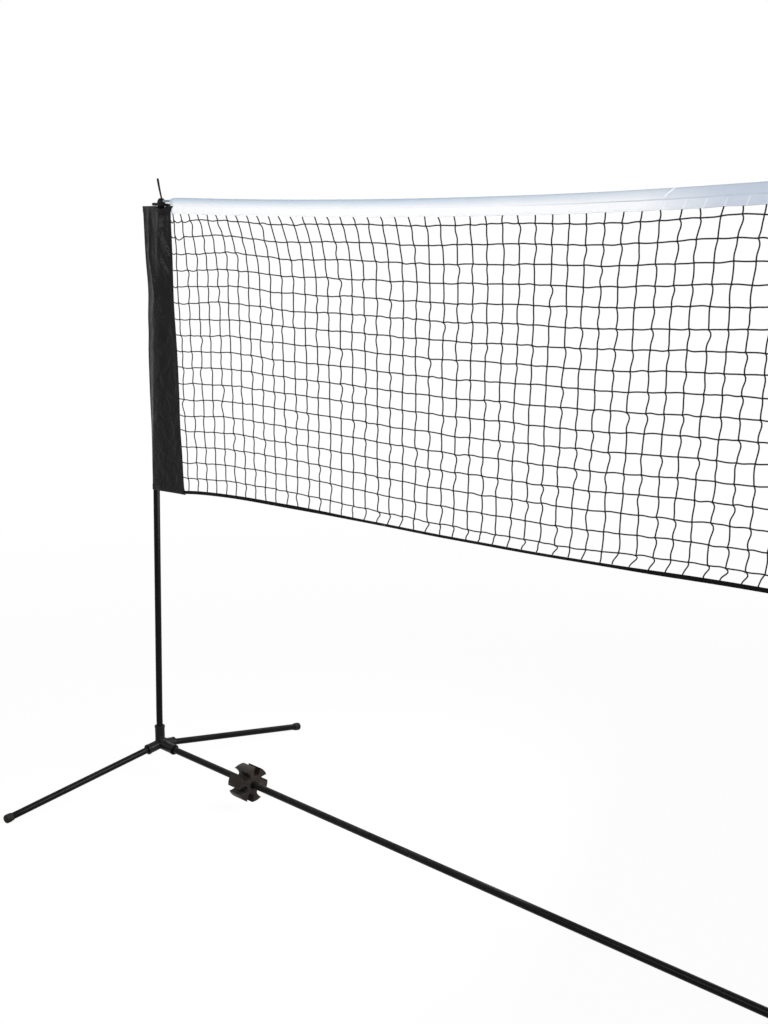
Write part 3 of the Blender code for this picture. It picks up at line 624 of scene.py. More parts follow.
foot_rubber = moulded_finish(
    "black_rubber", (0.0045, 0.0045, 0.0045), (0.009, 0.0085, 0.008), 0.62,
    pits=0.0014, pit_depth=0.00014, dust=0.12, specular=0.08,
)
for label, side in SIDES.items():
    for end in ("front", "back"):
        body = f"leg_{end}_{label}"
        leg_place = socket_place(side, end)
        leg = shape_of(f"{body}_tube", turned(tube_outline(TUBE_SEAT, LEG_END), leg_place))
        add_piece(leg, satin_paint, body, "tube_steel", f"leg_tube_{end}_{label}")
        cap, way = turned(foot_outline(), leg_place)
        cap[..., 2] = np.maximum(cap[..., 2], 0.0)
        foot = shape_of(f"{body}_foot", (cap, way))
        add_piece(foot, foot_rubber, body, "foot_rubber", f"foot_cap_{end}_{label}")


# Storage clips: one matt, brownish-black moulding each. A bore lets it slide on the crossbar,
# and six round, open slots with narrowed mouths hold the frame's tubes when it is packed.
CLIP_PLACE = 0.401       # from the connector's centre
CLIP_LEN = 0.050
CLIP_R = 0.047
CLIP_SLOTS = 6
CLIP_SLOT_CENTRE = 0.031
CLIP_SLOT_R = 0.0097
CLIP_MOUTH = 0.0172
CLIP_BEAD = 0.0035
CLIP_TURN = math.radians(11.0)
CLIP_BORE_R = 0.0094
CLIP_EDGE = 0.0009       # rounding of its rims
CLIP_CORNER = 0.0007     # rounding of its slots' and arms' corners


def clip_outline():
    """Six slots and six outer arcs, each set turned by a sixth from the one before."""
    mouth = CLIP_MOUTH / 2
    pitch = 2 * math.pi / CLIP_SLOTS
    edge = math.asin(mouth / CLIP_R)
    rim = CLIP_R * math.cos(edge)
    turn = -math.pi / 2 - np.linspace(0.0, math.pi, 15)
    bottom = joined(CLIP_SLOT_CENTRE + CLIP_SLOT_R * np.cos(turn), CLIP_SLOT_R * np.sin(turn))
    lead_in = np.array([
        (rim, -mouth), (rim - CLIP_BEAD / 2, -mouth), (rim - CLIP_BEAD, -CLIP_SLOT_R),
    ])
    lead_out = lead_in[::-1] * (1.0, -1.0)
    arc = np.linspace(edge, pitch - edge, 10)[1:-1]
    outer = CLIP_R * joined(np.cos(arc), np.sin(arc))
    one = np.concatenate([lead_in, bottom, lead_out, outer])
    one = rounded(one, CLIP_CORNER, 3, closed=True)
    turns = CLIP_TURN + pitch * np.arange(CLIP_SLOTS)
    spin = joined(np.cos(turns), -np.sin(turns), np.sin(turns), np.cos(turns))
    return np.einsum("kij,nj->kni", spin.reshape(-1, 2, 2), one).reshape(-1, 2)


def drawn_in(outline, depth):
    """Closed outline moved inwards by a depth, square to its own line."""
    run = np.roll(outline, -1, axis=0) - np.roll(outline, 1, axis=0)
    run = run / np.maximum(np.linalg.norm(run, axis=1, keepdims=True), 1e-9)
    return outline + depth * joined(-run[:, 1], run[:, 0])


def clip_piece(name, side):
    """The outline drawn along the crossbar with rounded rims, a bore, and two end faces."""
    outline = clip_outline()
    half = CLIP_LEN / 2
    middle = side * (SPAN / 2 - CLIP_PLACE)
    clip_place = frame_at((middle, 0.0, HUB_Z), (1.0, 0.0, 0.0))
    turn = np.linspace(0.0, math.pi / 2, 4)
    depth = CLIP_EDGE * (1 - np.sin(turn))
    along = half - CLIP_EDGE * (1 - np.cos(turn))
    depth, along = np.append(depth, depth[::-1]), np.append(along, -along[::-1])
    wall = np.stack([
        np.insert(drawn_in(outline, d), 2, x, axis=1) for d, x in zip(depth, along)
    ])
    wall = np.concatenate([wall, wall[:, :1]], axis=1)
    rim = CLIP_BORE_R + CLIP_EDGE
    bore = rounded([(rim, half), (CLIP_BORE_R, half - CLIP_EDGE),
                    (CLIP_BORE_R, -half + CLIP_EDGE), (rim, -half)], GAP, 3)
    made = shape_of(name, (moved(wall, clip_place), 0.0), turned(bore, clip_place), face_out=False)
    shell = bmesh.new()
    shell.from_mesh(made.data)
    open_edges = [edge for edge in shell.edges if edge.is_boundary]
    for end in (1, -1):
        ring = [edge for edge in open_edges if (edge.verts[0].co.x - middle) * end > 0]
        bmesh.ops.triangle_fill(shell, edges=ring, use_beauty=True, use_dissolve=False)
    bmesh.ops.recalc_face_normals(shell, faces=shell.faces)
    shell.to_mesh(made.data)
    shell.free()
    smooth_skin(made.data)
    return made


clip_plastic = moulded_finish(
    "brown_black_plastic", (0.0076, 0.0055, 0.0045), (0.0150, 0.0112, 0.0090), 0.42,
    pits=0.0013, pit_depth=0.00016, dust=0.06, specular=0.09,
)
for label, side in SIDES.items():
    node = f"storage_clip_{label}"
    add_piece(clip_piece(f"clip_{label}", side), clip_plastic, node, "clip_plastic", node)


# Posts: two painted tubes each, joined inside the sleeve by the lower tube's necked end. They
# lean inwards out of their sockets, and the net's pull bends them more at the middle joint.
POST_TOP = 1.580
POST_BEND = 0.086        # how far inwards the post's top lies
POST_LEAN = 0.0346       # slope of the lower tube above its socket
POST_LEAN_RUN = 0.050
POST_KNEE_RUN = 0.200    # height over which the post takes the rest of its slope
POST_CLAMP_Z = HUB_Z + SOCKET_REACH["post"]
POST_FOOT_Z = HUB_Z + TUBE_SEAT
LOWER_POST_LEN = 0.776
POST_KNEE_DROP = 0.090   # from the middle joint down to where the knee starts
LOWER_POST_TOP = POST_FOOT_Z + LOWER_POST_LEN
POST_KNEE_Z = LOWER_POST_TOP - POST_KNEE_DROP
BENT_RINGS = 60          # to the metre along a bent tube


def bent_tube(centres, axes, radii, sides=ROUND_SIDES, across=(0.0, 1.0, 0.0)):
    """Grid of a tube: rings of the given radii round a line of centres, square to its axes.

    Across is a direction that is never along the line, from which each ring starts.
    """
    axes = unit(axes)
    first = unit(across - axes * np.sum(axes * across, axis=-1, keepdims=True))
    second = np.cross(axes, first)
    turn = full_turn(sides)[:, None]
    ring = np.cos(turn) * first[..., None, :] + np.sin(turn) * second[..., None, :]
    way = joined(turn[:, 0] * np.max(radii), run_along(centres)[..., None])
    return centres[..., None, :] + ring * np.asarray(radii)[..., None, None], way


def rising(value, start, run):
    """Share that grows evenly from 0 at a start to 1 after a run."""
    return np.clip((value - start) / run, 0.0, 1.0)


def slope_reach(z, start, run):
    """Sideways reach of a unit slope that comes so: the rising share summed over the height."""
    return run * rising(z, start, run) ** 2 / 2 + np.maximum(z - start - run, 0.0)


LEAN_REACH = POST_LEAN * slope_reach(POST_TOP, POST_CLAMP_Z, POST_LEAN_RUN)
KNEE_SLOPE = (POST_BEND - LEAN_REACH) / slope_reach(POST_TOP, POST_KNEE_Z, POST_KNEE_RUN)


def post_bend(z, part):
    """A post's lean plus its knee: with slope_reach how far inwards, with rising how steep."""
    lean = POST_LEAN * part(z, POST_CLAMP_Z, POST_LEAN_RUN)
    return lean + KNEE_SLOPE * part(z, POST_KNEE_Z, POST_KNEE_RUN)


def inward_x(side, distance):
    """World x of what lies that far inwards from a post's foot."""
    return side * (SPAN / 2 - distance)


def post_tube(side, start, end, shoulder=None):
    """Tube along the post's bend, closed at both ends; the wall's outline runs in height."""
    outline = cut_up(tube_outline(start, end, shoulder), BENT_RINGS)
    z = outline[:, 1]
    centres = joined(inward_x(side, post_bend(z, slope_reach)), 0.0, z)
    axes = joined(-side * post_bend(z, rising), 0.0, 1.0)
    return bent_tube(centres, axes, outline[:, 0])


for label, side in SIDES.items():
    tubes = {
        "lower": post_tube(side, POST_FOOT_Z, LOWER_POST_TOP + SPIGOT_LEN, LOWER_POST_TOP),
        "upper": post_tube(side, LOWER_POST_TOP + GAP, POST_TOP),
    }
    for part, grid in tubes.items():
        post = shape_of(f"post_{label}_{part}", grid)
        add_piece(post, satin_paint, "net_and_posts", "tube_steel", f"post_{part}_{label}")


# Sleeves: a flat tube of black coated nylon cloth for each post to stand in, hemmed above and
# below and sewn down both edges. The net is sewn into its inner edge.
sleeve_low, sleeve_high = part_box("sleeve_left")
SLEEVE_TOP = sleeve_high.z
SLEEVE_LOW = sleeve_low.z
SLEEVE_LEN = SLEEVE_TOP - SLEEVE_LOW
SLEEVE_OUTER = 0.0068
SLEEVE_INNER_TOP = 0.125
SLEEVE_INNER_LOW = 0.151
SLEEVE_WIDTH = SLEEVE_INNER_LOW - SLEEVE_OUTER
SLEEVE_CLOTH = 0.0012
SLEEVE_ROOM = 0.0012     # between the post and the cloth
SLEEVE_COVER_R = TUBE_R + SLEEVE_ROOM + SLEEVE_CLOTH
SLEEVE_EDGE = 0.0032
SLEEVE_COLUMNS = 72
SLEEVE_ROWS = 190
SLEEVE_CROWD = 0.45      # how much its columns crowd towards the two edges
# Waves of the two seams, pulled inwards: size, height of the middle and half width. The
# corners run out or in to the hems: size, and the height over which they fade.
OUTER_WAVES = [(0.0085, 1.36, 0.07), (0.0030, 1.25, 0.035), (0.0028, 0.98, 0.08)]
INNER_WAVES = [(0.0042, 1.33, 0.09), (0.0030, 1.01, 0.06)]
OUTER_TOP_CORNER = (0.0040, 0.06)
INNER_LOW_CORNER = (0.0050, 0.012)
INNER_TOP_CORNER = (0.0160, 0.0078)
HEM_LINE = 1.5822        # height of the upper hem at the outer seam
HEM_FALL = 0.0256        # how much the hem falls for each metre inwards
HEM_DIP = (0.0060, 0.100, 0.013)     # dip under the cap's disc: depth, place, half width
HEM_DEPTH = 0.016
HEM_STEP = 0.0007
HEM_STEP_RUN = 0.0012
HEM_SHARE = HEM_DEPTH / SLEEVE_LEN
SEAM_IN = 0.0045         # from the sleeve's edges to their rows of stitches
SEAM_GROOVE = (-0.0003, SEAM_IN, 0.0010)             # its height, place and half width
HEM_SEAM = 0.75          # place of the hem's stitches, as a share of the hem's depth
EDGE_ROUND = 0.012       # share of the width over which each edge is rounded
EDGE_THIN = 0.30         # share of its thickness that the cloth tube keeps at its very edge
STITCH_PITCH = 0.0036
STITCH_SHARE = 0.72      # of the pitch that a stitch covers
STITCH_LIFT = 0.0003
THREAD_R = 0.00032
# Soft folds of the cloth: where each starts and ends, as shares across from the outer seam and
# up from the lower hem, its half width and its height. They fan out from the upper corners.
SLEEVE_FOLDS = [
    ((0.26, 1.00), (0.20, 0.80), 0.009, 0.0050),
    ((0.16, 0.86), (0.42, 0.68), 0.010, 0.0050),
    ((0.72, 0.99), (0.58, 0.86), 0.009, 0.0052),
    ((0.60, 0.92), (0.96, 0.80), 0.008, 0.0050),
    ((0.50, 0.84), (0.92, 0.74), 0.010, 0.0036),
    ((0.90, 0.99), (0.80, 0.88), 0.006, 0.0020),
    ((0.40, 0.97), (0.48, 0.78), 0.010, -0.0018),
    ((0.36, 0.76), (0.20, 0.58), 0.014, 0.0014),
    ((0.80, 0.66), (0.95, 0.52), 0.010, 0.0012),
    ((0.72, 0.30), (0.90, 0.16), 0.012, 0.0012),
    ((0.12, 0.10), (0.30, 0.04), 0.010, 0.0010),
]
FOLD_BOW = 0.006         # how far a fold bows sideways between its ends
FOLD_FREE_ACROSS = 0.10  # share of the width in which the folds come up from each edge
FOLD_FREE_UP = 0.02      # the same from each hem, where they keep some of their height
FOLD_AT_HEM = 0.35
BACK_FOLD_SIZE = 0.9     # the back's folds against the front's, and how far up they lie
BACK_FOLD_START = 0.07
BACK_FOLD_END = 0.05


def hill(z, size, middle, width):
    """A bell-shaped rise: its size, its middle and its half width."""
    return size * np.exp(-(((z - middle) / width) ** 2))


def hills(z, rows):
    """Sum of several such rises."""
    return sum(hill(z, *row) for row in rows)


def fading(away, size, fade):
    """What is of full size where a distance is nought, and fades out exponentially."""
    return size * np.exp(-away / fade)


def sleeve_outer(z):
    """Outer seam, measured inwards from the post's foot; the cloth draws it in at mid height."""
    return SLEEVE_OUTER + hills(z, OUTER_WAVES) - fading(SLEEVE_TOP - z, *OUTER_TOP_CORNER)


def sleeve_inner(z):
    """Inner seam, measured inwards from the post's foot, with slow waves and pulled corners."""
    t = (z - SLEEVE_LOW) / SLEEVE_LEN
    straight = SLEEVE_INNER_LOW + (SLEEVE_INNER_TOP - SLEEVE_INNER_LOW) * t
    corners = fading(z - SLEEVE_LOW, *INNER_LOW_CORNER) + fading(SLEEVE_TOP - z, *INNER_TOP_CORNER)
    return straight - hills(z, INNER_WAVES) + corners


def sleeve_half(distance, z):
    """Half the sleeve's thickness: a soft swell over the post that dies out at each seam.

    It falls off as a squared cosine of the share of the way from the post to the seam.
    """
    post = post_bend(z, slope_reach)
    away = distance - post
    reach = np.where(away < 0.0, post - sleeve_outer(z), sleeve_inner(z) - post)
    swell = np.cos(math.pi / 2 * rising(np.abs(away), 0.0, reach)) ** 2
    edge = SLEEVE_EDGE / 2
    return edge + (SLEEVE_COVER_R - edge) * swell


def from_edge(share):
    """Distance from the nearer of the two edges, as a share."""
    return np.minimum(share, 1 - share)


def sleeve_relief(across, up, face):
    """How far the cloth stands out: folds as long soft ridges, and a step at each hem.

    A fold's height falls off as a bell across it and fades to nothing at both of its ends.
    The back has the same folds, mirrored and a little lower down.
    """
    size = np.array([SLEEVE_WIDTH, SLEEVE_LEN])
    x, y = across * SLEEVE_WIDTH, up * SLEEVE_LEN
    relief = 0.0 * x
    for start, end, half_width, height in SLEEVE_FOLDS:
        if face > 0:
            start = (1.0 - start[0], BACK_FOLD_START + BACK_FOLD_SIZE * start[1])
            end = (1.0 - end[0], BACK_FOLD_END + BACK_FOLD_SIZE * end[1])
        start = size * start
        run = size * end - start
        length = np.linalg.norm(run)
        along = ((x - start[0]) * run[0] + (y - start[1]) * run[1]) / length**2
        beside = ((x - start[0]) * run[1] - (y - start[1]) * run[0]) / length
        bow = FOLD_BOW * np.sin(along * math.pi)
        fade = np.sin(np.clip(along * 0.8 + 0.1, 0.0, 1.0) * math.pi) ** 1.5
        relief = relief + hill(beside, height, -bow, half_width) * fade
    free = rising(from_edge(across), 0.0, FOLD_FREE_ACROSS)
    ends = rising(from_edge(up), 0.0, FOLD_FREE_UP)
    relief = relief * free * (FOLD_AT_HEM + (1 - FOLD_AT_HEM) * ends)
    band = rising((HEM_SHARE - from_edge(up)) * SLEEVE_LEN, 0.0, HEM_STEP_RUN)
    return relief + HEM_STEP * band


def sleeve_points(side, across, up, face):
    """Points of the sleeve's outer face; face is -1 for the front and 1 for the back."""
    z = SLEEVE_LOW + up * SLEEVE_LEN
    low, high = sleeve_outer(z), sleeve_inner(z)
    distance = low + (high - low) * across
    edge = rising(from_edge(across), 0.0, EDGE_ROUND)
    round_edge = np.sqrt(1 - (1 - edge) ** 2)
    half = sleeve_half(distance, z) * (EDGE_THIN + (1 - EDGE_THIN) * round_edge)
    groove = hill(np.minimum(distance - low, high - distance), *SEAM_GROOVE)
    out = half + sleeve_relief(across, up, face) + groove
    hem = HEM_LINE - HEM_FALL * distance - hill(distance, *HEM_DIP)
    height = z + (hem - SLEEVE_TOP) * up**6
    return joined(inward_x(side, distance), face * out, height)


def closed_tube(line, radii, sides, axes=None, across=(0.0, 1.0, 0.0)):
    """Grid of round thread or cord along one or many lines of points, with its ends closed."""
    axes = np.gradient(line, axis=-2) if axes is None else axes
    grid, way = bent_tube(line, axes, radii, sides, across)
    tips = np.repeat(line[..., [0, -1], None, :], sides + 1, axis=-2)
    way = np.broadcast_to(way, grid.shape[:-1] + (2,))
    grid = np.concatenate([tips[..., :1, :, :], grid, tips[..., 1:, :, :]], axis=-3)
    return grid, np.concatenate([way[..., :1, :, :], way, way[..., -1:, :, :]], axis=-3)


def points_at(line, marks):
    """Points that lie at the given distances along a line of points."""
    run = run_along(line)
    return joined(*(np.interp(marks, run, part) for part in line.T))


def stitched(line, face):
    """Grid of a row of stitches: short round threads that bow up off the cloth in between."""
    marks = np.arange(STITCH_PITCH / 2, run_along(line)[-1] - STITCH_PITCH, STITCH_PITCH)
    starts = points_at(line, marks)[:, None]
    ends = points_at(line, marks + STITCH_PITCH * STITCH_SHARE)[:, None]
    outward = np.array([0.0, face, 0.0])
    t = np.linspace(0.0, 1.0, 5)[:, None]
    rows = starts * (1 - t) + ends * t + outward * (np.sin(math.pi * t) * STITCH_LIFT)
    thick = THREAD_R * np.sin(math.pi * (0.12 + 0.76 * t[:, 0]))
    return closed_tube(rows, thick, 6, ends - starts, outward)


def weave_effect():
    """Plain weave in metres: threads that pass over and under, and each thread's own tone."""
    group, given = start_effect("plain_weave", Thread=0.0005)
    rate = sum_of(group, "DIVIDE", math.pi, given["Thread"])
    scaled = shade(
        group, "ShaderNodeVectorMath", {0: given["Place"], "Scale": rate}, operation="SCALE"
    )[0]
    parts = shade(group, "ShaderNodeSeparateXYZ", {0: scaled})
    over = product(group, *(sum_of(group, "SINE", parts[axis]) for axis in ("X", "Y")))
    height = sum_of(group, "MULTIPLY_ADD", over, 0.5, 0.5)
    cells = shade(
        group, "ShaderNodeVectorMath", {0: scaled, 1: (math.pi, math.pi, 1.0)}, operation="SNAP"
    )[0]
    tone = shade(group, "ShaderNodeTexWhiteNoise", {"Vector": cells})["Value"]
    return end_effect(group, Height=height, Tone=tone)


PLAIN_WEAVE = weave_effect()


def woven(tree, thread):
    """The weave placed in a material, on the piece's own map."""
    inputs = {"Place": own_map(tree), "Thread": thread}
    return shade(tree, "ShaderNodeGroup", inputs, node_tree=PLAIN_WEAVE)


def cloth_finish(name, dark, pale, roughness, thread, thread_depth, crease_size, crease_depth,
                 specular, sheen=0.0):
    """Woven cloth: a weave, soft creases, and a tone that wanders from place to place."""
    material, tree, place = start_finish(name)
    weave = woven(tree, thread)
    creases = noise(tree, place, 1.0 / crease_size, 4.0, roughness=0.55, distortion=0.6)
    share = between(tree, noise(tree, place, 9.0, 2.0), 0.0, 0.7, *NOISE_SPREAD)
    share = sum_of(tree, "MULTIPLY_ADD", weave["Tone"], 0.3, share)
    tone = blended(tree, share, dark, pale)
    rough = between(tree, creases, roughness - 0.07, roughness + 0.09, *NOISE_SPREAD)
    bumps = [(creases, 0.6, crease_depth), (weave["Height"], 0.5, thread_depth)]
    return end_finish(material, tone, rough, bumps, specular, sheen)


def thicken(made, thickness):
    """Give a cloth surface its thickness, inwards."""
    modify(made, "SOLIDIFY", thickness=thickness, offset=-1.0)
    settle(made)


black_cloth = cloth_finish(
    "black_coated_nylon", (0.0019, 0.0018, 0.0018), (0.0044, 0.0041, 0.0040), 0.36,
    thread=0.0005, thread_depth=0.00006, crease_size=0.045, crease_depth=0.0120, specular=0.10,
)
black_thread = cloth_finish(
    "black_thread", (0.005, 0.005, 0.005), (0.011, 0.011, 0.011), 0.62,
    thread=0.0004, thread_depth=0.00003, crease_size=0.01, crease_depth=0.0001,
    specular=0.2, sheen=0.03,
)
even = np.linspace(0.0, 1.0, SLEEVE_COLUMNS)
crowded = (1 - np.cos(math.pi * even)) / 2
share = SLEEVE_CROWD * crowded + (1 - SLEEVE_CROWD) * even
hem_edges = np.array([HEM_SHARE, HEM_SHARE - HEM_STEP_RUN / SLEEVE_LEN])
up = np.unique(np.concatenate([np.linspace(0.0, 1.0, SLEEVE_ROWS), hem_edges, 1 - hem_edges]))
climb = np.linspace(0.004, 0.996, 220)
climb_z = SLEEVE_LOW + climb * SLEEVE_LEN
seam_share = SEAM_IN / (sleeve_inner(climb_z) - sleeve_outer(climb_z))
level = np.linspace(0.02, 0.98, 120)
for label, side in SIDES.items():
    front = sleeve_points(side, share[None], up[:, None], -1)
    back = sleeve_points(side, share[None, ::-1], up[:, None], 1)
    ring = np.concatenate([front, back, front[:, :1]], axis=1)
    way = joined(run_along(ring), up[:, None] * SLEEVE_LEN)
    sleeve = shape_of(f"sleeve_{label}_cloth", (ring, way))
    thicken(sleeve, SLEEVE_CLOTH)
    add_piece(sleeve, black_cloth, "net_and_posts", "sleeve_cloth", f"sleeve_{label}")
    sewn = []
    for face in (-1, 1):
        for across in (seam_share, 1 - seam_share):
            sewn.append(stitched(sleeve_points(side, across, climb, face), face))
        for height in (HEM_SEAM * HEM_SHARE, 1 - HEM_SEAM * HEM_SHARE):
            sewn.append(stitched(sleeve_points(side, level, height, face), face))
    stitching = shape_of(f"sleeve_{label}_stitches", *sewn)
    add_piece(stitching, black_thread, "net_and_posts", "sleeve_cloth")


# Post tops: a plug-in nylon cap with a wide, thin disc, a small moulded cone on it that grips
# the head cord, and a stiff nylon strap that stands up out of the cone and leans outwards.
CAP_DISC_R = 0.024
CAP_DISC_T = 0.0068
CAP_PLUG_LEN = 0.025
CONE_BASE_R = 0.011
CONE_TOP_R = 0.0056
CONE_H = 0.0125
CONE_SWELL = 2.6         # power of its flank: 1 is straight, more is rounder
CONE_FLANGE = 0.0013
CONE_STEP = 0.0004       # of the flank in from the flange
CONE_EDGE = 0.0005
CONE_HOLE_LEN = 0.02
CAP_SIDES = 72
CORD_R = 0.003
CORD_INSET = 0.0025      # from the cone's axis to the cord's end
CORD_HOLE_Z = 0.0048
STRAP_T = 0.0026
STRAP_FOOT_W = 0.0040
STRAP_TIP_W = 0.0060
STRAP_LEN = 0.056
STRAP_SEAT = 0.0032
STRAP_SHIFT = 0.0020
STRAP_LEAN = math.radians(16.5)
STRAP_TIP = 0.94         # share of its length where the tip starts to close
STRAP_BOW = 0.0011
STRAP_WIDENS = (0.8, 1.2)            # share of its length in which it widens, and the power
STRAP_END = (0.35, 0.45)             # shares of width and thickness left at its blunt end
STRAP_SIDES = 28
TAPE_H = 0.038
TAPE_RISE = 0.0205
TAPE_SAG = 0.0368
TAPE_HUMP = (0.004, 0.5, 0.35)       # a slack stretch: rise, place, half width
TAPE_END_DIP = (0.0078, 0.010)       # the cord draws its top down at both ends: depth, fade
TAPE_CLOTH = 0.001
TAPE_REACH = SPAN / 2 - SLEEVE_INNER_TOP
FOLD_ROOM = 0.0006       # between the cord and the fold round it
FOLD_R = CORD_R + FOLD_ROOM


def tape_level_z(x):
    """Run of the head tape: a shallow parabola that hangs from both posts, and a hump."""
    sag = TAPE_SAG * (1 - np.minimum((x / TAPE_REACH) ** 2, 1.0))
    return POST_TOP + TAPE_RISE - sag + hill(x, *TAPE_HUMP)


def tape_end_dip(x):
    """How far the cord draws the tape's top edge down near each post."""
    return fading(np.maximum(TAPE_REACH - np.abs(x), 0.0), *TAPE_END_DIP)


def tape_top_z(x):
    """Top edge of the tape."""
    return tape_level_z(x) - tape_end_dip(x)


def top_place(side, lift=0.0):
    """Place on the post's upper end, with its Z along the tube and lifted along it."""
    axis = unit((-side * post_bend(POST_TOP, rising), 0.0, 1.0))
    return frame_at((inward_x(side, POST_BEND), 0.0, POST_TOP) + axis * lift, axis)


def on_cone(side, height, inward):
    """Point at a height on a cone's axis, moved inwards along the net."""
    cone_place = top_place(side, CAP_DISC_T + 2 * GAP)
    return moved(np.array([0.0, 0.0, height]), cone_place) + (-side * inward, 0.0, 0.0)


def cord_line():
    """Middle line of the head cord, from inside one cone to inside the other."""
    ends = [on_cone(side, CORD_HOLE_Z, CORD_INSET)[None] for side in SIDES.values()]
    reach = TAPE_REACH - 2 * CORD_R
    x = np.linspace(-reach, reach, 181)
    inside = joined(x, 0.0, tape_top_z(x) - TAPE_CLOTH - FOLD_R)
    return np.concatenate([ends[0], inside, ends[1]])


def cap_outline():
    """Plug with a chamfered foot, then the disc with a soft rim and a shallow dish on top."""
    top = GAP + CAP_DISC_T
    return rounded([
        (0.0, -CAP_PLUG_LEN), (SPIGOT_R - 0.001, -CAP_PLUG_LEN), (SPIGOT_R, -CAP_PLUG_LEN + 0.002),
        (SPIGOT_R, GAP), (CAP_DISC_R, GAP), (CAP_DISC_R, top - 0.0015), (CAP_DISC_R - 0.0015, top),
        (CAP_DISC_R - 0.0040, top), (CAP_DISC_R - 0.0048, top - 0.0006), (0.0135, top - 0.0006),
        (0.0125, top), (0.0, top),
    ], 0.0008)


def cone_piece(name, side, cord_direction):
    """Cone with a swelling side and a small foot flange, cut by a hole for the cord."""
    t = np.linspace(0.0, 1.0, 16)
    radius = CONE_BASE_R - CONE_STEP + (CONE_TOP_R - CONE_BASE_R) * t**CONE_SWELL
    flank = joined(radius, CONE_H * t)
    foot = [(0.0, 0.0), (CONE_BASE_R, 0.0), (CONE_BASE_R, CONE_FLANGE)]
    outline = rounded(np.concatenate([foot, flank[2:], [(0.0, CONE_H)]]), CONE_EDGE, 3)
    made = shape_of(name, turned(outline, top_place(side, CAP_DISC_T + 2 * GAP)))
    bore = CORD_R + GAP
    hole = [(0.0, -GAP), (bore, -GAP), (bore, CONE_HOLE_LEN), (0.0, CONE_HOLE_LEN)]
    hole_place = frame_at(on_cone(side, CORD_HOLE_Z, CORD_INSET), cord_direction)
    drill = shape_of("drill", turned(hole, hole_place, sides=32))
    modify(made, "BOOLEAN", operation="DIFFERENCE", object=drill)
    settle(made)
    bpy.data.objects.remove(drill)
    smooth_skin(made.data)
    return made


def soft_box(turn, power):
    """Unit outline between a circle and a box: its cosine and sine, each raised to a power."""
    return [np.sign(part) * np.abs(part) ** power for part in (np.cos(turn), np.sin(turn))]


def strap_grid(side):
    """Flat strap as rings of a rounded box that widens to a blunt tip and bows a little."""
    tip = 1.0 - STRAP_TIP
    t = np.concatenate([
        [0.0], np.linspace(0.0, STRAP_TIP, 30), STRAP_TIP + tip * np.sin(np.linspace(0.2, 1.57, 6)),
    ])
    close = np.sqrt(1 - rising(t, STRAP_TIP, tip) ** 2)
    run, power = STRAP_WIDENS
    width = STRAP_FOOT_W + (STRAP_TIP_W - STRAP_FOOT_W) * rising(t, 0.0, run) ** power
    half_w, half_t = (
        size / 2 * (left + (1 - left) * close) for size, left in zip((width, STRAP_T), STRAP_END)
    )
    for half in (half_w, half_t):
        half[[0, -1]] = 0.0
    turn = full_turn(STRAP_SIDES)
    wide, thick = soft_box(turn, 0.45)
    height = STRAP_LEN * t[:, None]
    bow = STRAP_BOW * np.sin(math.pi * t)[:, None]
    ring = joined(half_w[:, None] * wide, half_t[:, None] * thick + bow, height)
    way = joined(turn * 0.002, height)
    foot = on_cone(side, CONE_H - STRAP_SEAT + GAP, STRAP_SHIFT)
    lean = (side * math.sin(STRAP_LEAN), 0.0, math.cos(STRAP_LEAN))
    return moved(ring, frame_at(foot, lean)), way


cord_run = cord_line()
nylon_strap = moulded_finish(
    "black_strap_nylon", (0.005, 0.005, 0.0052), (0.009, 0.009, 0.009), 0.40,
    pits=0.0009, pit_depth=0.0001, dust=0.0, specular=0.12,
)
for label, side in SIDES.items():
    near, next_to = cord_run[[0, 1]] if side < 0 else cord_run[[-1, -2]]
    tops = {
        "cap": (shape_of(f"post_{label}_cap", turned(cap_outline(), top_place(side), CAP_SIDES)),
                black_nylon, "moulded_plastic", "post_cap"),
        "cone": (cone_piece(f"post_{label}_cone", side, next_to - near),
                 black_nylon, "moulded_plastic", "cord_cone"),
        "strap": (shape_of(f"post_{label}_strap", strap_grid(side)),
                  nylon_strap, "strap_nylon", "tie_strap"),
    }
    for made, material, slot, node in tops.values():
        add_piece(made, material, "net_and_posts", slot, f"{node}_{label}")


# Head cord: a pale grey braided cord that runs from cone to cone inside the tape's fold and
# carries the net. Only its two ends show.
BRAID_STRANDS = 8
BRAID_PITCH = 0.0032
CORD_RINGS = 700
CORD_SIDES = 20


def smooth_line(points, count):
    """Evenly spaced points on a curve through a line's points, eased by three averages."""
    line = points_at(points, np.linspace(0.0, run_along(points)[-1], count))
    for _ in range(3):
        line[1:-1] = (line[:-2] + 2 * line[1:-1] + line[2:]) / 4
    return line


def lay_of(tree, around_rate, pitch):
    """Angles of a thread's strands on its own map, round it and along it."""
    parts = shade(tree, "ShaderNodeSeparateXYZ", {0: own_map(tree)})
    around = sum_of(tree, "MULTIPLY", parts["X"], around_rate)
    return around, sum_of(tree, "MULTIPLY", parts["Y"], 2 * math.pi / pitch)


def braid_finish():
    """Braid: two sets of strands that cross as diamonds on the cord's own map. Its tones carry painted
    shade: darker where the strands dip, and darker overall than the cord's pale grey for the cones'
    shadow at its ends.
    """
    material, tree, place = start_finish("pale_grey_braid")
    angles = lay_of(tree, BRAID_STRANDS / CORD_R, BRAID_PITCH)
    strands = [sum_of(tree, "SINE", sum_of(tree, way, *angles)) for way in ("ADD", "SUBTRACT")]
    height = sum_of(tree, "MAXIMUM", *strands)
    soil = between(tree, noise(tree, place, 160.0, 3.0), 0.0, 0.35, 0.45, 0.8)
    # painted shade: darker where the strands dip, and both tones darker than the cord's own pale grey
    # for the cones' shadow
    tone = between(tree, height, 0.0, 1.0, -0.4, 0.8)
    tone = blended(tree, tone, (0.12, 0.15, 0.18), (0.24, 0.30, 0.36))
    tone = blended(tree, soil, tone, (0.20, 0.22, 0.22))
    return end_finish(material, tone, 0.72, [(height, 0.7, 0.0004)], specular=0.3, sheen=0.15)


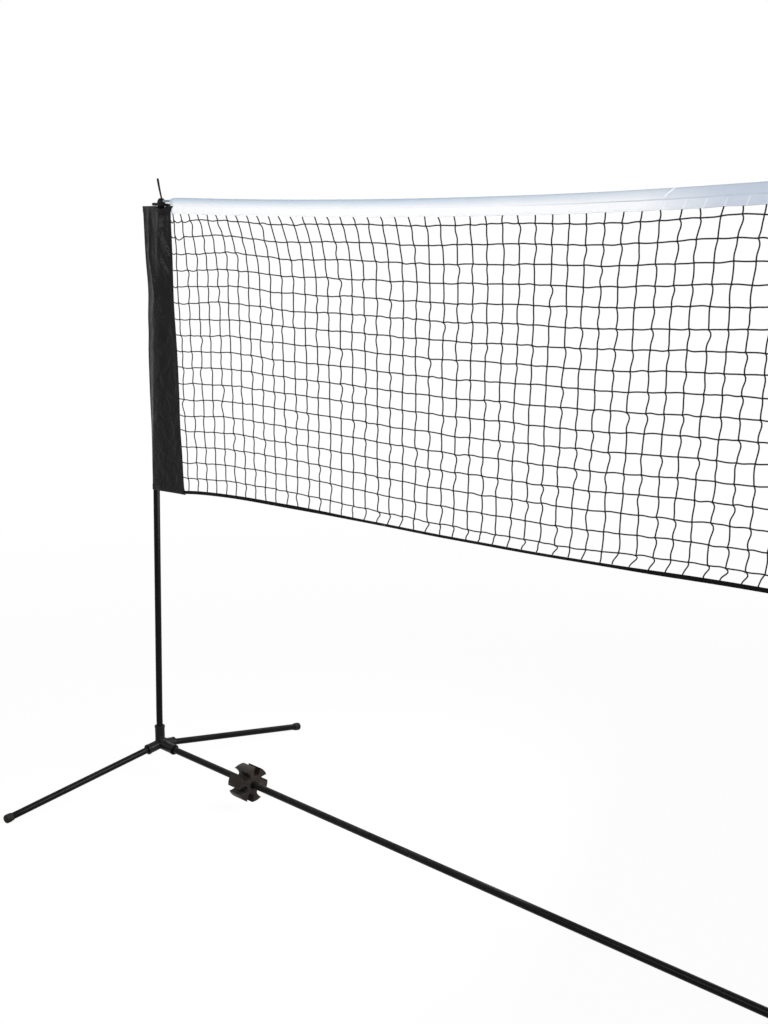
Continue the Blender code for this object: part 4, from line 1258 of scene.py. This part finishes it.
cord_grid = closed_tube(smooth_line(cord_run, CORD_RINGS), CORD_R, CORD_SIDES)
cord = shape_of("head_cord_braid", cord_grid)
add_piece(cord, braid_finish(), "net_and_posts", "cord_braid", "head_cord")


# Head tape: a strip of white coated polyester folded over the cord and over the net's top
# edge. One row of stitches closes the cord's channel and another holds the lower hem.
TAPE_STEP = 0.004
tape_low, tape_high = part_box("head_tape")
TAPE_LEFT = tape_low.x
CHANNEL_Z = 0.0195       # of the channel's stitches below the top edge
FLAP_OUT = 0.0026        # from the middle to a flap's face at the channel's stitches
FLAP_OPEN = 0.0006       # how much further the flaps stand apart at the lower edge
HEM_STITCH = 0.0030      # of the hem's stitches above the lower edge
TAPE_RIPPLE = (0.0007, 0.31, 0.17, 0.083, 0.051)     # slow waves of the cloth: size, lengths
TAPE_SWAY = (11, 0.0012, 0.9, 0.43)  # of the tape with the net in it: seed, size, lengths
TAPE_RELIEF = (0.004, 0.008)         # depth where the cloth's relief starts, and its run
TAPE_HANG = (23, 0.022, 0.26, 0.12, 0.07)            # of the flaps' length, as a share of it
TAPE_CREASE_REACH = 0.011            # how far up and down a crease runs from its middle
TAPE_CREASES = [         # place along the net, depth, slant, half width and height of each crease
    (-1.342, 0.024, 0.2, 0.005, 0.0012), (-1.300, 0.012, 0.9, 0.006, 0.0012),
    (-1.050, 0.020, 0.5, 0.010, 0.0010), (-0.740, 0.022, -0.6, 0.012, 0.0009),
    (-0.360, 0.016, 0.7, 0.009, 0.0011), (-0.120, 0.024, -0.4, 0.011, 0.0010),
    (0.020, 0.018, 0.9, 0.0045, 0.0015), (0.144, 0.011, -0.95, 0.0035, 0.0034),
    (0.262, 0.022, 0.3, 0.006, 0.0014), (0.325, 0.026, 0.6, 0.006, 0.0013),
    (0.470, 0.016, -0.8, 0.007, 0.0013), (0.800, 0.020, 0.6, 0.010, 0.0011),
    (1.040, 0.018, -0.5, 0.009, 0.0012), (1.310, 0.014, -0.8, 0.006, 0.0013),
]
STRING_RIDGE = (0.0013, 0.0, 0.0026)                 # ridge over each string's end in the tape
SEWN_GROOVES = [(1.0, CHANNEL_Z, 0.0012), (0.8, TAPE_H - HEM_STITCH, 0.0010)]
SEWN_DEPTH = 0.0004
STRING_RIDGE_RUN = 0.004             # below the channel, over which that ridge comes up
TAPE_HEM = (TAPE_H - 2.2 * HEM_STITCH, 0.0008)       # depth of the hem's upper edge, and its run
STRING_FIT = 11          # degree of the polynomial that numbers the strings
HIGHLIGHT_CREASE_TOP = 0.158       # where the painted highlight along the one sharp crease meets the tape's top
HIGHLIGHT_CREASE_SLANT = 1.4       # how far it runs to the left for each metre down
PUCKER_HIGHLIGHT_SLANT = 0.35      # the same for the painted highlight on the small pucker over each string
TAPE_CUT = (             # cut of its ends round the sleeve's corner: depth, and how far in
    (0.0, 0.0), (0.003, 0.0005), (0.0115, 0.0070), (0.0155, 0.0080), (0.0165, 0.0165),
    (0.0210, 0.0125), (0.0265, 0.0085), (0.0380, 0.0050),
)
TAPE_CUT_FADE = 0.03
TAPE_DROP = (0.08, 0.25)             # extra length of the flaps at the left end, and its fade
TAPE_TONE = (0.865, 0.870, 0.888)
# Tints laid over that tone, one on the other: soiling, each thread's tone, painted shade and
# painted highlights. A tint's share is a product of parts, and each part is what it depends on,
# two shares, and the values at which it has them.
TAPE_TINTS_AND_PAINTED_LIGHT = [
    ((0.815, 0.830, 0.860), [("soil", 0.0, 0.5, 0.45, 0.75)]),
    # painted shade: a blue-grey band down from the fold, partly the grey cord showing through and partly
    # shade where the cloth turns over the cord; weaker to the right
    ((0.44, 0.53, 0.63), [("depth", 1.0, 0.0, 0.0035, CHANNEL_Z), ("along", 1.0, 0.62, -0.5, 0.25)]),
    # painted shade: a dark blue-grey line in the channel's sewn groove, on the right part of the tape
    ((0.36, 0.43, 0.53), [("seam", 0.85, 0.0, 0.0003, 0.0016), ("along", 0.05, 1.0, -0.25, 0.05)]),
    # painted shade: the front face greys to the right of the middle, where less light falls, and whitens
    # again further on
    ((0.44, 0.51, 0.62), [("along", 0.0, 0.8, 0.08, 0.26), ("along", 1.0, 0.0, 0.42, 0.95),
                          ("across", 0.0, 1.0, -0.002, 0.003)]),
    # painted highlight: a pale line along the one sharp crease, in the upper part
    ((0.92, 0.94, 0.97), [("crease", 1.0, 0.0, 0.0010, 0.0034), ("depth", 1.0, 0.0, 0.0130, 0.0165)]),
    # painted highlight: a pale line on the pucker over each string's end, below the channel
    ((0.92, 0.94, 0.97), [("string", 0.36, 0.0, 0.01, 0.06),
                          ("depth", 0.0, 1.0, CHANNEL_Z, CHANNEL_Z + 0.004)]),
    # painted shadow: the tape's left end darkens to blue-grey, standing in for the cone's shadow
    ((0.26, 0.33, 0.40), [("along", 0.75, 0.0, -1.372, -1.352)]),
    ((0.62, 0.65, 0.70), [("thread", 0.0, 0.08, 0.0, 1.0)]),
]
STRINGS = 68
FIRST_STRING = 0.1604    # from the left post's foot, halfway down the net
STRING_CROWD = (0.1081, -0.1117)     # how the strings' spacing drifts along the net
MID_Z = 1.2              # height at which the strings' places were measured
STRING_LEAN = (-0.0322, -0.0633, 0.0325, 0.0290)     # drift per metre down, by place along
GATHER = (0.045, -0.90, 0.50)        # pull to the post under the tape: size, place, half width
GATHER_DEPTH = 0.16
GATHER_START = 0.05      # from the first string to where the pull is whole
GATHER_LEAST = 0.5       # share of the pull at the first string
STRING_TUCK = 0.012      # height of the strings' ends above the tape's lower edge
TOP_SHIFT = (0.002, 0.0050)          # of the strings' ends in the tape: least, and more along it
TOP_SHIFT_RUN = (-0.4, 0.8)          # place where the more starts, and its run


def string_places():
    """World x of every upright string halfway down: even steps and a slow cubic drift."""
    s = np.linspace(0.0, 1.0, STRINGS)
    even = FIRST_STRING + (SPAN - 2 * FIRST_STRING) * s
    drift = s * (1 - s) * (STRING_CROWD[0] + STRING_CROWD[1] * s)
    return even + drift - SPAN / 2


mid_x = string_places()[:, None]
tape_low_z = tape_level_z(mid_x) - TAPE_H


def string_x(z):
    """World x of every string at a height: its lean, and the pull to the post under the tape."""
    t = mid_x / (SPAN / 2 - FIRST_STRING)
    lean = sum(c * t**k for k, c in enumerate(STRING_LEAN))
    free = np.clip((abs(mid_x[0]) - np.abs(mid_x)) / GATHER_START, GATHER_LEAST, 1.0)
    pull = (hill(-mid_x, *GATHER) - hill(mid_x, *GATHER)) * free
    depth = np.clip(1 - (tape_low_z - z) / GATHER_DEPTH, 0.0, 1.05) ** 2
    return mid_x + lean * (MID_Z - z) + pull * depth


def string_tops():
    """World x of the strings' ends inside the tape, which lie a little to the right."""
    least, more = TOP_SHIFT
    tops = string_x(tape_low_z + STRING_TUCK) + least
    return (tops + more * rising(mid_x, *TOP_SHIFT_RUN))[:, 0]


def slow_waves(x, seed, size, *lengths):
    """Sum of sine waves of the given lengths with seeded phases."""
    phases = np.random.default_rng(seed).uniform(0.0, 2 * math.pi, len(lengths))
    return sum(size * np.sin(2 * math.pi * x / n + p) for n, p in zip(lengths, phases)) / len(lengths)


def tape_half(down):
    """Half the tape's thickness at a depth: round over the cord, pinched, then flat flaps."""
    r = FOLD_R + TAPE_CLOTH
    over_cord = np.sqrt(np.maximum(r**2 - (down - r) ** 2, 0.0))
    below = r + (FLAP_OUT - r) * eased(rising(down, r, CHANNEL_Z - r))
    open_flap = FLAP_OPEN * rising(down, CHANNEL_Z, TAPE_H - CHANNEL_Z) ** 1.5
    return np.where(down < r, over_cord, below + open_flap)


def tape_points(x, down, face):
    """Points of the tape's outer face; down is the depth under the top edge."""
    free = rising(down, *TAPE_RELIEF)
    relief = slow_waves(x, 5 + face, *TAPE_RIPPLE) * free
    for spot, depth, slant, half_width, height in TAPE_CREASES:
        away = x - spot + face * slant * (down - depth)
        ridge = hill(away, height, 0.0, half_width) * hill(down, 1.0, depth, TAPE_CREASE_REACH)
        relief = relief + ridge * free
    nearest = np.abs(x[..., None] - string_tops()).min(axis=-1)
    relief = relief + hill(nearest, *STRING_RIDGE) * rising(down, CHANNEL_Z, STRING_RIDGE_RUN)
    hem = rising(down, *TAPE_HEM)
    out = tape_half(down) + np.maximum(relief, -SEWN_DEPTH)
    out = out + SEWN_DEPTH * (hem - hills(down, SEWN_GROOVES))
    from_left, from_right = x - TAPE_LEFT, -TAPE_LEFT - x
    longer = slow_waves(x, *TAPE_HANG) + fading(from_left, *TAPE_DROP)
    hang = down * (1 + longer - tape_end_dip(x) / TAPE_H)
    ends = fading(from_left, 1.0, TAPE_CUT_FADE) - fading(from_right, 1.0, TAPE_CUT_FADE)
    cut = np.interp(down, *zip(*TAPE_CUT)) * ends
    across = face * out + slow_waves(x, *TAPE_SWAY)
    return joined(x + cut, across, tape_top_z(x) - hang)


def string_number(tree, along, depth):
    """Number of the string at a place, as a polynomial of the place moved by the slant."""
    slanted = sum_of(tree, "MULTIPLY_ADD", depth, PUCKER_HIGHLIGHT_SLANT, -PUCKER_HIGHLIGHT_SLANT * TAPE_H)
    slanted = sum_of(tree, "ADD", slanted, along)
    number = 0.0
    for factor in np.polyfit(string_tops(), np.arange(STRINGS), STRING_FIT):
        number = sum_of(tree, "MULTIPLY_ADD", number, slanted, float(factor))
    return number


def distance_to(tree, value, middle):
    """How far a value lies from another."""
    return sum_of(tree, "ABSOLUTE", sum_of(tree, "SUBTRACT", value, middle))


def tape_finish():
    """White coated cloth with a tight weave. The blue-grey over the fold is partly the grey cord showing
    through and partly painted shade; other tints paint shade and highlights too.
    """
    material, tree, place = start_finish("white_tape_cloth")
    weave = woven(tree, 0.0006)
    across = shade(tree, "ShaderNodeSeparateXYZ", {0: own_map(tree)})["Y"]
    along = shade(tree, "ShaderNodeSeparateXYZ", {0: place})["X"]
    depth = sum_of(tree, "ABSOLUTE", across)
    crease_highlight_line = sum_of(tree, "MULTIPLY_ADD", depth, HIGHLIGHT_CREASE_SLANT, along)
    causes = {
        "across": across, "along": along, "depth": depth, "thread": weave["Tone"],
        "soil": noise(tree, place, 7.0, 3.0),
        "seam": distance_to(tree, depth, CHANNEL_Z),
        "crease": distance_to(tree, crease_highlight_line, HIGHLIGHT_CREASE_TOP),
        "string": sum_of(tree, "PINGPONG", string_number(tree, along, depth), 0.5),
    }
    tone = TAPE_TONE
    for tint, parts in TAPE_TINTS_AND_PAINTED_LIGHT:
        share = product(tree, *(between(tree, causes[cause], *limits) for cause, *limits in parts))
        tone = blended(tree, share, tone, tint)
    creases = noise(tree, place, 38.0, 5.0, roughness=0.6, distortion=0.8)
    rough = between(tree, creases, 0.54, 0.72, *NOISE_SPREAD)
    bumps = [(creases, 0.5, 0.0016), (weave["Height"], 0.4, 0.00006)]
    return end_finish(material, tone, rough, bumps, specular=0.32, sheen=0.08)


columns = int((tape_high.x - TAPE_LEFT) / TAPE_STEP)
x = np.linspace(TAPE_LEFT, tape_high.x, columns)[:, None]
r = FOLD_R + TAPE_CLOTH
turn = np.linspace(math.pi / 2, 0.12, 10)
down = np.concatenate([
    r - r * np.sin(turn), np.linspace(r * 1.05, CHANNEL_Z - 0.0012, 7),
    CHANNEL_Z + np.array([-0.0006, 0.0, 0.0006, 0.0014]),
    np.linspace(CHANNEL_Z + 0.003, TAPE_H - 0.0072, 7),
    TAPE_H - np.array([0.0062, 0.0050, 0.0036, 0.0030, 0.0022, 0.0012, 0.0004, 0.0]),
])
front = tape_points(x, down[None], -1)
back = tape_points(x, down[None], 1)
depth = np.concatenate([-down[:0:-1], down])
way = joined(x, depth[None])
tape_grid = np.concatenate([back[:, :0:-1], front], axis=1)
tape = shape_of("head_tape_cloth", (tape_grid, way), face_out=False)
thicken(tape, TAPE_CLOTH * 0.8)
add_piece(tape, tape_finish(), "net_and_posts", "tape_cloth", "head_tape")
white_thread = cloth_finish(
    "white_thread", (0.62, 0.66, 0.72), (0.78, 0.80, 0.84), 0.6,
    thread=0.0004, thread_depth=0.00003, crease_size=0.01, crease_depth=0.0001,
    specular=0.3, sheen=0.1,
)
sewn = [
    stitched(tape_points(x[:, 0], level, face), face)
    for face in (-1, 1) for level in (CHANNEL_Z, TAPE_H - HEM_STITCH)
]
stitching = shape_of("head_tape_stitches", *sewn)
add_piece(stitching, white_thread, "net_and_posts", "tape_cloth")


# The net: square mesh of dark knotted twine, 68 strings by 17 rows. Its strings hang from
# inside the tape, kink at every knot, and curl where they are sewn to the bottom ribbon.
ROWS = 17
TWINE_R = 0.00145
TWINE_LAY = 0.0042       # length of one turn of its strands
CELL_STEPS = 7
RIBBON_H = 0.009
RIBBON_LIFT = 0.0015     # ribbon's lower edge above the sleeves' lower edge
RIBBON_RISE = 0.0207     # how far it rises out of the sleeves to its level run
RIBBON_RUN = 0.166       # distance in which most of that rise happens
RIBBON_CREST = (0.0213, 0.5, 0.489)  # low crest over the level run: height, place, half width
FIRST_ROW = (0.0171, 0.0019, 0.45)   # depth below the tape, and its wave's size and length
FIRST_ROW_SHIFT = 1.0    # of that wave along the net
FIRST_ROW_ENDS = (0.001, 1.34, 0.06)                 # rise by the sleeves: size, place, half width
LAST_ROW = (0.0205, 0.0135, 0.0015)  # height over the ribbon, more by the posts, more past mid
LAST_ROW_ENDS = (0.72, 0.12)         # where it comes to the more by the posts: place, run
LAST_ROW_MID = (0.05, 0.05)          # the same past the middle
ROW_LIFT = (0.0075, 1.13, 0.12)      # the upper rows rise near the posts: size, place, half width
SIDE_BELLY = (0.0065, 5.0, 2.2)      # the outer strings bow out: size, row, half width in rows
BULGE_PEAK = 0.1055                  # highest value of t times (1 - t) cubed
KNOT_R = 0.0016
KNOT_TWINE_R = 0.0010
KNOT_TILT = 0.2          # how far a loop strays from square to its diagonal
LOOP_STEPS = 11
LOOP_SIDES = 5
TWINE_SIDES = 8
KNOT_SEED, TWINE_SEED, LOOP_SEED = 17, 29, 31
RIBBON_TUCK = 0.0012     # of the strings' lower ends under the ribbon's upper edge
ROW_WAVES = (0.0012, 1.3, 0.5, 0.21)                 # of each row up and down: size, lengths
NET_SWAY = (61, 0.0012, 0.7, 0.33)   # of the whole net to its two sides: seed, size, lengths
STRAY_UP = 0.0007        # how far a single knot strays up, along the net and sideways
STRAY_ALONG = 0.0008
STRAY_ASIDE = 0.0004
SLUMP = 0.0022           # how far the uppermost knots near the posts stray further
SLUMP_FADES = (0.07, 1.2)            # of that, along the net and in rows
SLUMP_INSET = 0.14       # from a post's foot, where it is whole
LIFT_FADE = 9.0          # rows in which the rise near the posts fades
LIFT_FIRST = 0.5         # share of that rise for the first row
CURL = (-0.010, 0.003)   # of a string's lower end along the net: mean and spread
CURL_RUN = (-1.1, 1.2)   # place where the curl starts, and its run
SEWN_IN = 0.001          # how far a row's end goes into the sleeve
# Sideways bulge of a string's runs: mean and spread of the draw and, for all but the first run
# under the tape, the two limits that it is kept between. It grows from the tape downwards.
RUN_BULGE = (0.0020, 0.0017, -0.0012, 0.0058)
LAST_BULGE = (0.0026, 0.0034, -0.004, 0.007)
FIRST_BULGE = (-0.0034, 0.0018)
BULGE_GROWTH = (0.7, 1.3)
STRING_WAVE = 0.0006     # spreads of a string's slow wave and hump along the net, and of the two
STRING_HUMP = 0.0008     # that it has to the net's sides
STRING_ASIDE = (0.0012, 0.0010)
LOOSE_ROWS = 2           # upper rows whose cells beside the posts go up or down freely
LOOSE_DROOP = (-0.0015, 0.0050)      # their droop, as mean and spread, and that of the others
LOWER_DROOP = (-0.0024, 0.0008)
LOWER_FADE = (5, 2.5)    # row from which the others' droop fades, and its fade in rows
DROOP_ENDS = (1.3, 0.04)             # gain beside the posts, and its fade as a share of the net's length
ROW_DROOP = 0.0006       # spread of every cell's droop
ROW_ASIDE = (0.0005, 0.0004, 0.0004, 0.0006)         # of its bulges, second wave and sway


def ribbon_top_z(x):
    """The ribbon climbs out of each sleeve to a level run with a low, wide crest."""
    reach = SPAN / 2 - SLEEVE_INNER_LOW
    free_left, free_right = (
        1 - fading(np.maximum(reach + way, 0.0), 1.0, RIBBON_RUN) for way in (x, -x)
    )
    rise = RIBBON_RISE + hill(x, *RIBBON_CREST)
    return SLEEVE_LOW + RIBBON_LIFT + RIBBON_H + free_left * free_right * rise


def first_row_drop(x):
    """First row's depth below the tape: a small wave, and a little less beside the sleeves."""
    depth, size, length = FIRST_ROW
    wave = size * np.sin(2 * math.pi * (x + FIRST_ROW_SHIFT) / length)
    return depth + wave - hill(np.abs(x), *FIRST_ROW_ENDS)


def last_row_lift(x):
    """Last row's height above the ribbon: more near the posts, with a soft step in the middle."""
    height, at_posts, past_middle = LAST_ROW
    near_posts = 1 / (1 + np.exp((LAST_ROW_ENDS[0] - np.abs(x)) / LAST_ROW_ENDS[1]))
    step = 1 + np.tanh((x - LAST_ROW_MID[0]) / LAST_ROW_MID[1])
    return height + at_posts * near_posts + past_middle * step


def knot_places():
    """Knots and string ends as (string, level, 3): level 0 is in the tape, the last in the ribbon."""
    pick = np.random.default_rng(KNOT_SEED)
    ribbon_z = ribbon_top_z(mid_x)
    first, last = tape_low_z - first_row_drop(mid_x), ribbon_z + last_row_lift(mid_x)
    z = first + (last - first) * np.linspace(0.0, 1.0, ROWS)
    wander = [slow_waves(mid_x, 40 + row, *ROW_WAVES) for row in range(ROWS)]
    wander = np.concatenate(wander, axis=1) + pick.normal(0.0, STRAY_UP, z.shape)
    number = np.arange(ROWS)
    upper = np.where(number == 0, LIFT_FIRST, 1.0) * fading(number, 1.0, LIFT_FADE)
    inside = SPAN / 2 - SLUMP_INSET
    along, down = SLUMP_FADES
    edge = fading(inside + mid_x, 1.0, along) + fading(inside - mid_x, 1.0, along)
    slump = pick.normal(0.0, SLUMP, z.shape) * edge * fading(number, 1.0, down)
    z = z + wander + slump + hill(np.abs(mid_x), *ROW_LIFT) * upper
    z = np.concatenate([tape_low_z + STRING_TUCK, z, ribbon_z - RIBBON_TUCK], axis=1)
    x = string_x(z) + pick.normal(0.0, STRAY_ALONG, z.shape)
    x[:, 0] = string_tops()
    drawn_out = hill(np.arange(ROWS + 2), *SIDE_BELLY)
    x[0] -= drawn_out
    x[-1] += drawn_out
    curled = rising(x[:, -1], *CURL_RUN)
    x[:, -1] += pick.normal(*CURL, STRINGS) * curled
    y = slow_waves(x, *NET_SWAY) + pick.normal(0.0, STRAY_ASIDE, z.shape)
    y[:, :2] = slow_waves(x[:, :2], *TAPE_SWAY)
    return joined(x, y, z)


def between_knots(knots, bulge, second, lift):
    """Twine from knot to knot: straight runs with a bulge just past each knot and a slow wave.

    The bulge is t times (1 - t) cubed, which peaks a quarter of the way along.
    """
    t = (np.arange(CELL_STEPS) / CELL_STEPS)[:, None]
    parts = (
        (bulge, t * (1 - t) ** 3 / BULGE_PEAK),
        (second, np.sin(2 * math.pi * t)),
        (lift, np.sin(math.pi * t)),
    )
    line = knots[:, :-1, None] * (1 - t) + knots[:, 1:, None] * t
    for sizes, shape in parts:
        line = line + joined(*sizes)[:, :, None] * shape
    return np.concatenate([line.reshape(len(knots), -1, 3), knots[:, -1:]], axis=1)


def twine_finish():
    """Laid twine: strands that wind round it, a fuzzy broken tone with painted shade where the strands
    dip, and almost no gloss.
    """
    material, tree, place = start_finish("dark_net_twine")
    lay = sum_of(tree, "SINE", sum_of(tree, "ADD", *lay_of(tree, 3.0 / TWINE_R, TWINE_LAY)))
    worn = between(tree, noise(tree, place, 420.0, 2.0), 0.0, 1.0, 0.35, 0.7)
    tone = blended(tree, worn, (0.013, 0.0105, 0.0105), (0.034, 0.028, 0.028))
    # painted shade: darker where the strands dip between their turns
    tone = blended(tree, between(tree, lay, 0.5, 0.0, -1.0, 0.2), tone, (0.006, 0.005, 0.005))
    return end_finish(material, tone, 0.86, [(lay, 0.8, 0.0003)], specular=0.12, sheen=0.12)


def loops_at(spots, seed):
    """Small twine loops that wrap each knot, each square to a diagonal of its cell."""
    pick = np.random.default_rng(seed)
    sign = np.where(pick.uniform(size=len(spots)) < 0.5, -1.0, 1.0)
    normal = unit(joined(1.0, 0.0, sign) + pick.normal(0.0, KNOT_TILT, spots.shape))
    first = unit(np.cross(normal, (0.0, 1.0, 0.0)))
    second = np.cross(normal, first)
    turn = full_turn(LOOP_STEPS)[None, :, None]
    tube_turn = full_turn(LOOP_SIDES)[:, None]
    wide = KNOT_R + KNOT_TWINE_R * np.cos(tube_turn)
    outward = np.cos(turn) * first[:, None] + np.sin(turn) * second[:, None]
    ring = outward[:, :, None] * wide + normal[:, None, None] * KNOT_TWINE_R * np.sin(tube_turn)
    return spots[:, None, None] + ring, 0.0


def drawn(pick, shape, mean, spread, low, high):
    """Random draws round a mean, kept between two limits."""
    return np.clip(pick.normal(mean, spread, shape), low, high)


def strings_of(knots, pick):
    """Upright strings: each run bulges to one side below its knot and wanders a little."""
    cells = (STRINGS, ROWS + 1)
    bulge = drawn(pick, cells, *RUN_BULGE) * np.linspace(*BULGE_GROWTH, ROWS + 1)
    bulge[:, 0] = pick.normal(*FIRST_BULGE, STRINGS)
    bulge[:, -1] = drawn(pick, STRINGS, *LAST_BULGE)
    wave, hump = (pick.normal(0.0, size, cells) for size in (STRING_WAVE, STRING_HUMP))
    bellies = [pick.normal(0.0, size, cells) for size in STRING_ASIDE]
    for belly in bellies:
        belly[:, 0] = 0.0
    return between_knots(
        knots, (bulge, bellies[0], 0.0), (wave, 0.0, 0.0), (hump, bellies[1], 0.0)
    )


def rows_of(inner, pick):
    """Level rows from sleeve to sleeve: they droop most in the cells beside the posts."""
    seams = []
    for end, side in ((0, -1.0), (-1, 1.0)):
        z = inner[:, end, 2] + SEWN_IN
        seams.append(joined(inward_x(side, sleeve_inner(z) - SEWN_IN), 0.0, z))
    knots = np.concatenate([seams[0][:, None], inner, seams[1][:, None]], axis=1)
    cells = (ROWS, STRINGS + 1)
    along = np.linspace(0.0, 1.0, STRINGS + 1)
    gain, fade = DROOP_ENDS
    near_post = np.minimum(gain * (fading(along, 1.0, fade) + fading(1 - along, 1.0, fade)), 1.0)
    number = np.arange(ROWS)[:, None]
    loose = pick.normal(*LOOSE_DROOP, cells) * (number < LOOSE_ROWS)
    sagging = pick.normal(*LOWER_DROOP, cells) * (number >= LOOSE_ROWS)
    sagging = sagging * fading(np.maximum(number - LOWER_FADE[0], 0), 1.0, LOWER_FADE[1])
    droop = pick.normal(0.0, ROW_DROOP, cells) + (loose + sagging) * near_post
    bulge_y, bulge_z, second_z, lift_y = (pick.normal(0.0, size, cells) for size in ROW_ASIDE)
    return between_knots(
        knots, (0.0, bulge_y, bulge_z), (0.0, 0.0, second_z), (0.0, lift_y, droop)
    )


knots = knot_places()
inner = knots[:, 1:-1].transpose(1, 0, 2)
pick = np.random.default_rng(TWINE_SEED)
net_twine = twine_finish()
net_strings = shape_of("net_strings", closed_tube(strings_of(knots, pick), TWINE_R, TWINE_SIDES))
add_piece(net_strings, net_twine, "net_and_posts", "net_twine", "net")
net_rows = shape_of("net_rows", closed_tube(rows_of(inner, pick), TWINE_R, TWINE_SIDES))
add_piece(net_rows, net_twine, "net_and_posts", "net_twine")
net_knots = shape_of("net_knots", loops_at(inner.reshape(-1, 3), LOOP_SEED))
add_piece(net_knots, net_twine, "net_and_posts", "net_twine")


# Bottom ribbon: a narrow black woven binding folded over the net's lower edge. It carries no
# load, so it twists a little as it arches from sleeve to sleeve.
RIBBON_T = 0.0022
RIBBON_STEP = 0.005
RIBBON_SIDES = 24
RIBBON_TWISTS = [(0.6, -1.13, 0.13), (0.7, 0.80, 0.20)]      # radians, place, half width
RIBBON_LIES = [(0.6, -0.84, 0.12), (-0.6, 0.17, 0.10)]       # turns flat and back, the same way
RIBBON_SWAY = (73, 0.0012, 0.6, 0.27)                        # seed, size and lengths


def ribbon_grid():
    """Rounded flat section that turns slowly about its own middle line along the arch."""
    low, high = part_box("bottom_ribbon")
    x = np.linspace(low.x, high.x, int((high.x - low.x) / RIBBON_STEP))[:, None]
    middle = ribbon_top_z(x) - RIBBON_H / 2
    lie = sum(size * np.tanh((x - place) / run) for size, place, run in RIBBON_LIES)
    lie = lie + hills(x, RIBBON_TWISTS)
    tall, wide = soft_box(full_turn(RIBBON_SIDES), 0.55)
    tall, wide = tall * RIBBON_H / 2, wide * RIBBON_T / 2
    ring = joined(
        x, wide * np.cos(lie) + tall * np.sin(lie) + slow_waves(x, *RIBBON_SWAY),
        middle - wide * np.sin(lie) + tall * np.cos(lie),
    )
    way = joined(x, run_along(joined(tall, wide)))
    ends = [np.repeat(ring[k].mean(axis=0)[None, None], ring.shape[1], axis=1) for k in (0, -1)]
    return np.concatenate([ends[0], ring, ends[1]]), np.concatenate([way[:1], way, way[-1:]])


ribbon_cloth = cloth_finish(
    "black_woven_binding", (0.0018, 0.0018, 0.0020), (0.0050, 0.0047, 0.0050), 0.66,
    thread=0.0009, thread_depth=0.0002, crease_size=0.02, crease_depth=0.0008, specular=0.05,
)
ribbon = shape_of("bottom_ribbon_binding", ribbon_grid())
add_piece(ribbon, ribbon_cloth, "net_and_posts", "ribbon_webbing", "bottom_ribbon")
